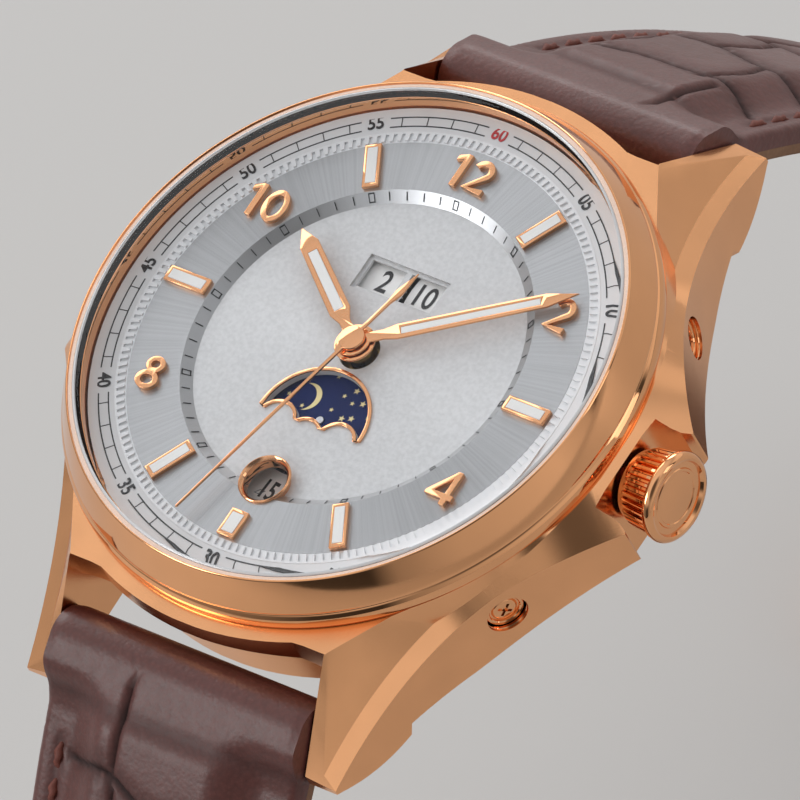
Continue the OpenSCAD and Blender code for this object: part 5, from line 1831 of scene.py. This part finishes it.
        # The roll round the spring bar, from the inner side over the case side to the top
        w = self.half_width(0)
        for k in range(self.roll_rows):
            theta = math.radians(-62 + (k / (self.roll_rows - 1)) * 152)
            along, up = -self.roll_r * math.cos(theta), self.roll_r * math.sin(theta)
            row = []
            for i in range(nx + 1):
                x = -w + 2 * w * i / nx
                shrink = 1 - 0.06 * smooth01((abs(x) / w - 0.93) / 0.07)
                row.append(put(self.route.place(0.0, x, up * shrink, along * shrink), 0.0))
            grid.append(row)
        for s in stations:
            w = self.half_width(s)
            row = []
            for i in range(nx + 1):
                f = 2 * i / nx - 1
                x = w * math.copysign(abs(f) ** 0.9, f)
                h, c = self._top(s, x)
                row.append(put(self.route.place(s, x, h), c))
            grid.append(row)
        faces = []
        for a, b in zip(grid, grid[1:]):
            for i in range(nx):
                faces.append((a[i], a[i + 1], b[i + 1], b[i]))
        # Side walls and underside
        lower = []
        for k in range(len(grid)):
            s = 0.0 if k < self.roll_rows else stations[k - self.roll_rows]
            w = self.half_width(s)
            lower.append((put(self.route.place(s, -w, self.under), 0.0), put(self.route.place(s, w, self.under), 0.0)))
        for k in range(len(grid) - 1):
            faces.append((grid[k][0], grid[k + 1][0], lower[k + 1][0], lower[k][0]))
            faces.append((grid[k][-1], lower[k][1], lower[k + 1][1], grid[k + 1][-1]))
            faces.append((lower[k][0], lower[k + 1][0], lower[k + 1][1], lower[k][1]))
        for row, low in ((grid[0], lower[0]), (grid[-1], lower[-1])):
            faces.append((low[0], *row, low[1]))
        piece = build_mesh(self.name + "_upper_leather", verts, faces, 60)
        # The crease depth also drives painted shade in the leather's colour
        attr = piece.data.attributes.new("crease", "FLOAT", "POINT")
        lookup = {tuple(round(c * MM, 7) for c in v): c2 for v, c2 in zip(verts, creases)}
        values = [lookup.get(tuple(round(c, 7) for c in v.co), 0.0) for v in piece.data.vertices]
        attr.data.foreach_set("value", values)
        self._pierce(piece)
        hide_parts(self.name + "_upper")
        return dress(piece, self.finishes.hide, self.body)

    def lining(self) -> bpy.types.Object:
        """Builds the smooth lining with rounded edges.

        Returns:
            The lining, pierced like the upper.
        """
        start = 2.2
        end = self.length - 1.6 if self.buckle_end else self.length
        stations = [start + (end - start) * k / 150 for k in range(151)]
        verts: list[Point] = []
        faces: list[tuple[int, ...]] = []
        high = self.under - 0.01
        low = self.under - self.lining_t
        middle = 1.4
        for s in stations:
            w = self.half_width(s)
            half = [(-middle, high), (-w, high), (-w, low + 0.25), (-w + 0.08, low + 0.08), (-w + 0.25, low),
                    (-middle, low)]
            outline = half + [(-x, up) for x, up in reversed(half)]
            verts += [self.route.place(s, x, up) for x, up in outline]
        n = 2 * len(half)
        for k in range(len(stations) - 1):
            for j in range(n):
                m = (j + 1) % n
                faces.append((k * n + j, k * n + m, (k + 1) * n + m, (k + 1) * n + j))
        faces.append(tuple(range(n)))
        faces.append(tuple((len(stations) - 1) * n + j for j in range(n - 1, -1, -1)))
        piece = build_mesh(self.name + "_lining_leather", verts, faces, 50)
        self._pierce(piece)
        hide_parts(self.name + "_lining")
        return dress(piece, self.finishes.lining, self.body)

    def _pierce(self, piece: bpy.types.Object) -> None:
        """Punches the buckle holes and the tongue's slot through a layer.

        Args:
            piece: the layer, changed in place.
        """
        turns = [2 * math.pi * k / 24 for k in range(24)]
        ring = [(self.hole_r * math.cos(a), self.hole_r * math.sin(a)) for a in turns]
        for s in self.hole_s:
            self._punch(piece, s, ring)
        if self.slot_w:
            w = self.slot_w / 2
            self._punch(piece, self.length, [(-w, -3.0), (-w, 5.0), (w, 5.0), (w, -3.0)])

    def _punch(self, piece: bpy.types.Object, s: float, outline: list[Flat]) -> None:
        """Cuts an outline through a layer.

        Args:
            piece: the layer that is cut.
            s: distance of the cut from the spring bar.
            outline: the cut's corners, sideways and along the strap.
        """
        n = len(outline)
        verts = [self.route.place(s, x, up, along) for up in (-3.0, 5.0) for x, along in outline]
        faces = [(k, (k + 1) % n, n + (k + 1) % n, n + k) for k in range(n)]
        faces += [tuple(range(n - 1, -1, -1)), tuple(range(n, 2 * n))]
        cut_away(piece, [build_mesh("punch", verts, faces)])

    def stitches(self) -> bpy.types.Object:
        """Sews a row of twisted stitches along each edge.

        Returns:
            Both rows as one piece.
        """
        verts: list[Point] = []
        faces: list[tuple[int, ...]] = []
        pitch, run, thick = 2.35, 1.9, 0.3
        rings, sides = 9, 8
        count = int((self.length - (10 if self.buckle_end else 5) - 7.0) / pitch)
        for side, k in ((side, k) for side in (-1, 1) for k in range(count)):
            first = len(verts)
            for r in range(rings):
                t = r / (rings - 1)
                s = self.stitch_start + k * pitch + run * t
                x = side * (self.half_width(s) - self.stitch_in)
                h, _ = self._top(s, x)
                arch = math.sin(math.pi * t)
                size = thick * (0.35 + 0.65 * arch ** 0.5)
                twist = t * math.pi * 2.2
                for q in range(sides):
                    a = 2 * math.pi * q / sides
                    reach = size * (1 + 0.28 * math.cos(2 * (a - twist)))
                    verts.append(self.route.place(s, x + reach * math.cos(a),
                                                  h - 0.12 + 0.22 * arch + reach * math.sin(a) * 0.8))
            for r in range(rings - 1):
                low = first + r * sides
                high = low + sides
                for q in range(sides):
                    p = (q + 1) % sides
                    faces.append((low + q, low + p, high + p, high + q))
            faces.append(tuple(first + q for q in range(sides - 1, -1, -1)))
            faces.append(tuple(first + (rings - 1) * sides + q for q in range(sides)))
        piece = build_mesh(self.name + "_stitches", verts, faces, 80)
        return dress(piece, self.finishes.thread, self.body)

    def build(self) -> None:
        """Builds every piece of the strap half."""
        self.upper()
        self.lining()
        self.stitches()
        LOG.info("strap: %s", self.name)


@dataclass
class Keepers:
    """The fixed and the free leather keeper."""

    finishes: Finishes
    route: Route
    fixed_s: float = 70.0
    free_s: float = 59.0
    width: float = 5.0
    thick: float = 1.0

    def loop(self, name: str, node: str, s: float, inner_w: float, body: Body) -> bpy.types.Object:
        """Builds one keeper as a band with rounded corners and edges.

        Args:
            name: the piece's name.
            node: the CAD node it stands for.
            s: place along the strap.
            inner_w: inner width.
            body: the body it rides on.

        Returns:
            The keeper.
        """
        # Below the lining and above a second layer of the strap, with a little room
        low, high = -0.3 - 0.8 - 0.3, 1.2 + 0.35 + 0.3 + 2.5
        hw, t = inner_w / 2, self.thick
        corners = [(-hw - t, low - t), (hw + t, low - t), (hw + t, high + t), (-hw - t, high + t)]
        outer = rounded(corners, 2.3, 12)
        inner = rounded([(-hw, low), (hw, low), (hw, high), (-hw, high)], 1.5, 12)
        y0, z0, h = self.route.at(s)
        a = math.radians(h)
        verts: list[Point] = []
        # Place across the band's width, and share of its thickness from the inside
        section = [(0.5, 0.72), (0.42, 1.0), (-0.42, 1.0), (-0.5, 0.72), (-0.5, 0.0), (0.5, 0.0)]
        n = len(section)
        for o, i in zip(outer, inner):
            for along, share in section:
                px = i[0] + (o[0] - i[0]) * share
                up = i[1] + (o[1] - i[1]) * share
                d = along * self.width
                verts.append((px, y0 + up * math.sin(a) + d * math.cos(a),
                              z0 + up * math.cos(a) - d * math.sin(a)))
        faces = []
        m = len(outer)
        for k in range(m):
            q = (k + 1) % m
            for j in range(n):
                p = (j + 1) % n
                faces.append((k * n + j, q * n + j, q * n + p, k * n + p))
        piece = build_mesh(name, verts, faces, 50)
        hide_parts(node)
        return dress(piece, self.finishes.edge_leather, body)

    def build(self) -> None:
        """Builds both keepers."""
        self.loop("fixed_keeper_band", "fixed_keeper", self.fixed_s, 18.3, Body.STRAP_12)
        self.loop("free_keeper_band", "free_keeper", self.free_s, 18.7, Body.KEEPER)
        LOG.info("keepers: fixed and free")


@dataclass
class Buckle:
    """Pin buckle with its tongue and bar."""

    finishes: Finishes

    def build(self) -> None:
        """Rounds and dresses the buckle."""
        dress(softened("buckle_frame", 0.35, 4), self.finishes.polished, Body.BUCKLE)
        dress(softened("buckle_tongue", 0.2, 3), self.finishes.polished, Body.TONGUE)
        dress_nodes(["buckle_bar"], self.finishes.bright_steel)
        LOG.info("buckle: frame, tongue and bar")


# The studio


@dataclass
class Studio:
    """Pale floor, soft lights and the camera."""

    floor_z: float = -67.08
    right: Point = (0.7762, 0.5342, -0.3349)
    up: Point = (-0.3003, 0.7803, 0.5487)
    back: Point = (0.5544, -0.3253, 0.7660)
    target: Point = (3.02, -1.137, 7.33)
    distance: float = 1.07
    lens: float = 783.0
    panels: tuple[Flat, ...] = ((-180, 0.5), (-130, 0.4), (-100, 0.2), (-86, 0.06), (-64, 0.05), (-56, 0.35),
                                (-35, 0.6), (5, 0.85), (22, 0.6), (27, 0.08), (42, 0.08), (47, 0.9), (95, 1.1),
                                (130, 0.5), (180, 0.5))
    lamps: tuple[tuple[str, Point, Flat, float], ...] = (
        ("key", (-0.96, 0.5, 0.54), (0.7, 0.6), 3.6),
        ("side", (0.95, 0.55, 0.3), (0.3, 0.6), 0.8),
        ("near", (-0.58, -0.66, 0.55), (0.36, 0.36), 2.4),
        ("rear", (-0.52, 0.9, 0.26), (0.4, 0.3), 1.9),
    )

    def floor(self) -> None:
        """Lays a pale floor."""
        size = 1500.0
        obj = build_mesh("studio_floor", [(-size, -size, self.floor_z), (size, -size, self.floor_z),
                                          (size, size, self.floor_z), (-size, size, self.floor_z)], [(0, 1, 2, 3)])
        mat = bpy.data.materials.new("floor_pale")
        mat.use_nodes = True
        sh = Shader(mat.node_tree)
        bsdf = mat.node_tree.nodes["Principled BSDF"]
        clouds = sh.add("ShaderNodeTexNoise")
        clouds.inputs["Scale"].default_value = 3.0
        pale = sh.ramp(clouds.outputs[0], [(0.3, (0.59, 0.58, 0.57)), (0.7, (0.63, 0.62, 0.61))])
        sh.link(pale, bsdf.inputs["Base Color"])
        bsdf.inputs["Roughness"].default_value = 0.6
        obj.data.materials.append(mat)

    def lamp(self, name: str, place: Point, size: Flat, power: float) -> None:
        """Adds a soft rectangular lamp that faces the middle of the scene.

        Args:
            name: the lamp's name.
            place: where it stands, in metres.
            size: width and height in metres.
            power: power in watts.
        """
        data = bpy.data.lights.new(name, "AREA")
        data.shape = "RECTANGLE"
        data.size, data.size_y = size
        data.energy = power
        obj = bpy.data.objects.new(name, data)
        bpy.context.scene.collection.objects.link(obj)
        obj.location = place
        obj.rotation_euler = (-Vector(place)).to_track_quat("-Z", "Y").to_euler()

    def world(self) -> None:
        """Sets a soft surround: bright above, dark behind the camera, with panels round the horizon."""
        world = bpy.data.worlds.new("studio")
        bpy.context.scene.world = world
        world.use_nodes = True
        sh = Shader(world.node_tree)
        background = world.node_tree.nodes["Background"]
        coord = sh.add("ShaderNodeTexCoord")
        sep = sh.add("ShaderNodeSeparateXYZ")
        sh.link(coord.outputs["Generated"], sep.inputs[0])
        height = sh.ramp(sep.outputs[2], [(0.0, (0.3, 0.295, 0.29)), (0.3, (0.36, 0.355, 0.35)),
                                          (0.5, (0.72, 0.72, 0.72)), (0.72, (0.95, 0.95, 0.95)),
                                          (1.0, (1.05, 1.05, 1.05))])
        turn = sh.math("ADD", sh.math("DIVIDE", sh.math("ARCTAN2", sep.outputs[1], sep.outputs[0]), 2 * math.pi), 0.5)
        panels = sh.ramp(turn, [((degrees + 180) / 360, (v, v * 0.99, v * 0.97)) for degrees, v in self.panels])
        band = sh.add("ShaderNodeMapRange", interpolation_type="SMOOTHSTEP")
        sh.link(sep.outputs[2], band.inputs["Value"])
        band.inputs["From Min"].default_value = 0.22
        band.inputs["From Max"].default_value = 0.5
        colour = sh.mix(band.outputs[0], panels, height)
        dot = sh.add("ShaderNodeVectorMath", operation="DOT_PRODUCT")
        sh.link(coord.outputs["Generated"], dot.inputs[0])
        dot.inputs[1].default_value = self.back
        shade = sh.add("ShaderNodeMapRange", interpolation_type="SMOOTHSTEP")
        sh.link(dot.outputs["Value"], shade.inputs["Value"])
        shade.inputs["From Min"].default_value = 0.82
        shade.inputs["From Max"].default_value = 0.97
        colour = sh.mix(shade.outputs[0], colour, (0.14, 0.135, 0.13))
        sh.link(colour, background.inputs[0])
        background.inputs[1].default_value = 0.8

    def camera(self) -> None:
        """Places the camera at the photograph's viewing angle."""
        data = bpy.data.cameras.new("camera")
        data.type = "PERSP"
        data.sensor_width = 36.0
        data.lens = self.lens
        data.clip_start = 0.05
        data.clip_end = 20.0
        obj = bpy.data.objects.new("camera", data)
        bpy.context.scene.collection.objects.link(obj)
        r, u, b = Vector(self.right), Vector(self.up), Vector(self.back)
        place = Vector(self.target) * MM + b.normalized() * self.distance
        rot = Matrix((r, u, b)).transposed().to_4x4()
        obj.matrix_world = Matrix.Translation(place) @ rot
        bpy.context.scene.camera = obj

    def build(self) -> None:
        """Sets up floor, lights, surround and camera."""
        scene = bpy.context.scene
        scene.view_settings.view_transform = "Standard"
        self.floor()
        self.world()
        for name, place, size, power in self.lamps:
            self.lamp(name, place, size, power)
        self.camera()
        LOG.info("studio: floor, lights and camera")


def save_sizes() -> None:
    def plain(box: Iterable[Iterable[float]]) -> list[list[float]]:
        """Turns a box into plain lists of numbers."""
        return [[float(c) for c in corner] for corner in box]


def main() -> None:
    """Builds the studio and every sub-assembly in order."""
    logging.basicConfig(level=logging.INFO, format="%(message)s")
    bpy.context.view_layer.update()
    finishes = Finishes()
    # Each stretch of a route is its length and the angle that it turns through
    route_12 = Route(side=1, start=42.0, segments=((38.45, 24.0), (36.55, 80.41)))
    route_6 = Route(side=-1, start=37.0, segments=((38.0, 25.0), (57.6, 118.0), (19.4, 0.0)))
    Studio().build()
    CaseBody(finishes).build()
    Dial(finishes).build()
    CalendarDiscs(finishes).build()
    Hands(finishes).build()
    CrownSet(finishes).build()
    Movement(finishes).build()
    StrapHalf(finishes, route_12, length=75.0, body=Body.STRAP_12, buckle_end=True, name="strap_12", seed=3,
              slot_w=2.8).build()
    holes = tuple(51.0 + 6.0 * k for k in range(7))
    StrapHalf(finishes, route_6, length=115.0, body=Body.STRAP_6, buckle_end=False, name="strap_6", seed=8,
              hole_s=holes).build()
    Keepers(finishes, route_12).build()
    Buckle(finishes).build()
    save_sizes()


if __name__ == "__main__":
    main()
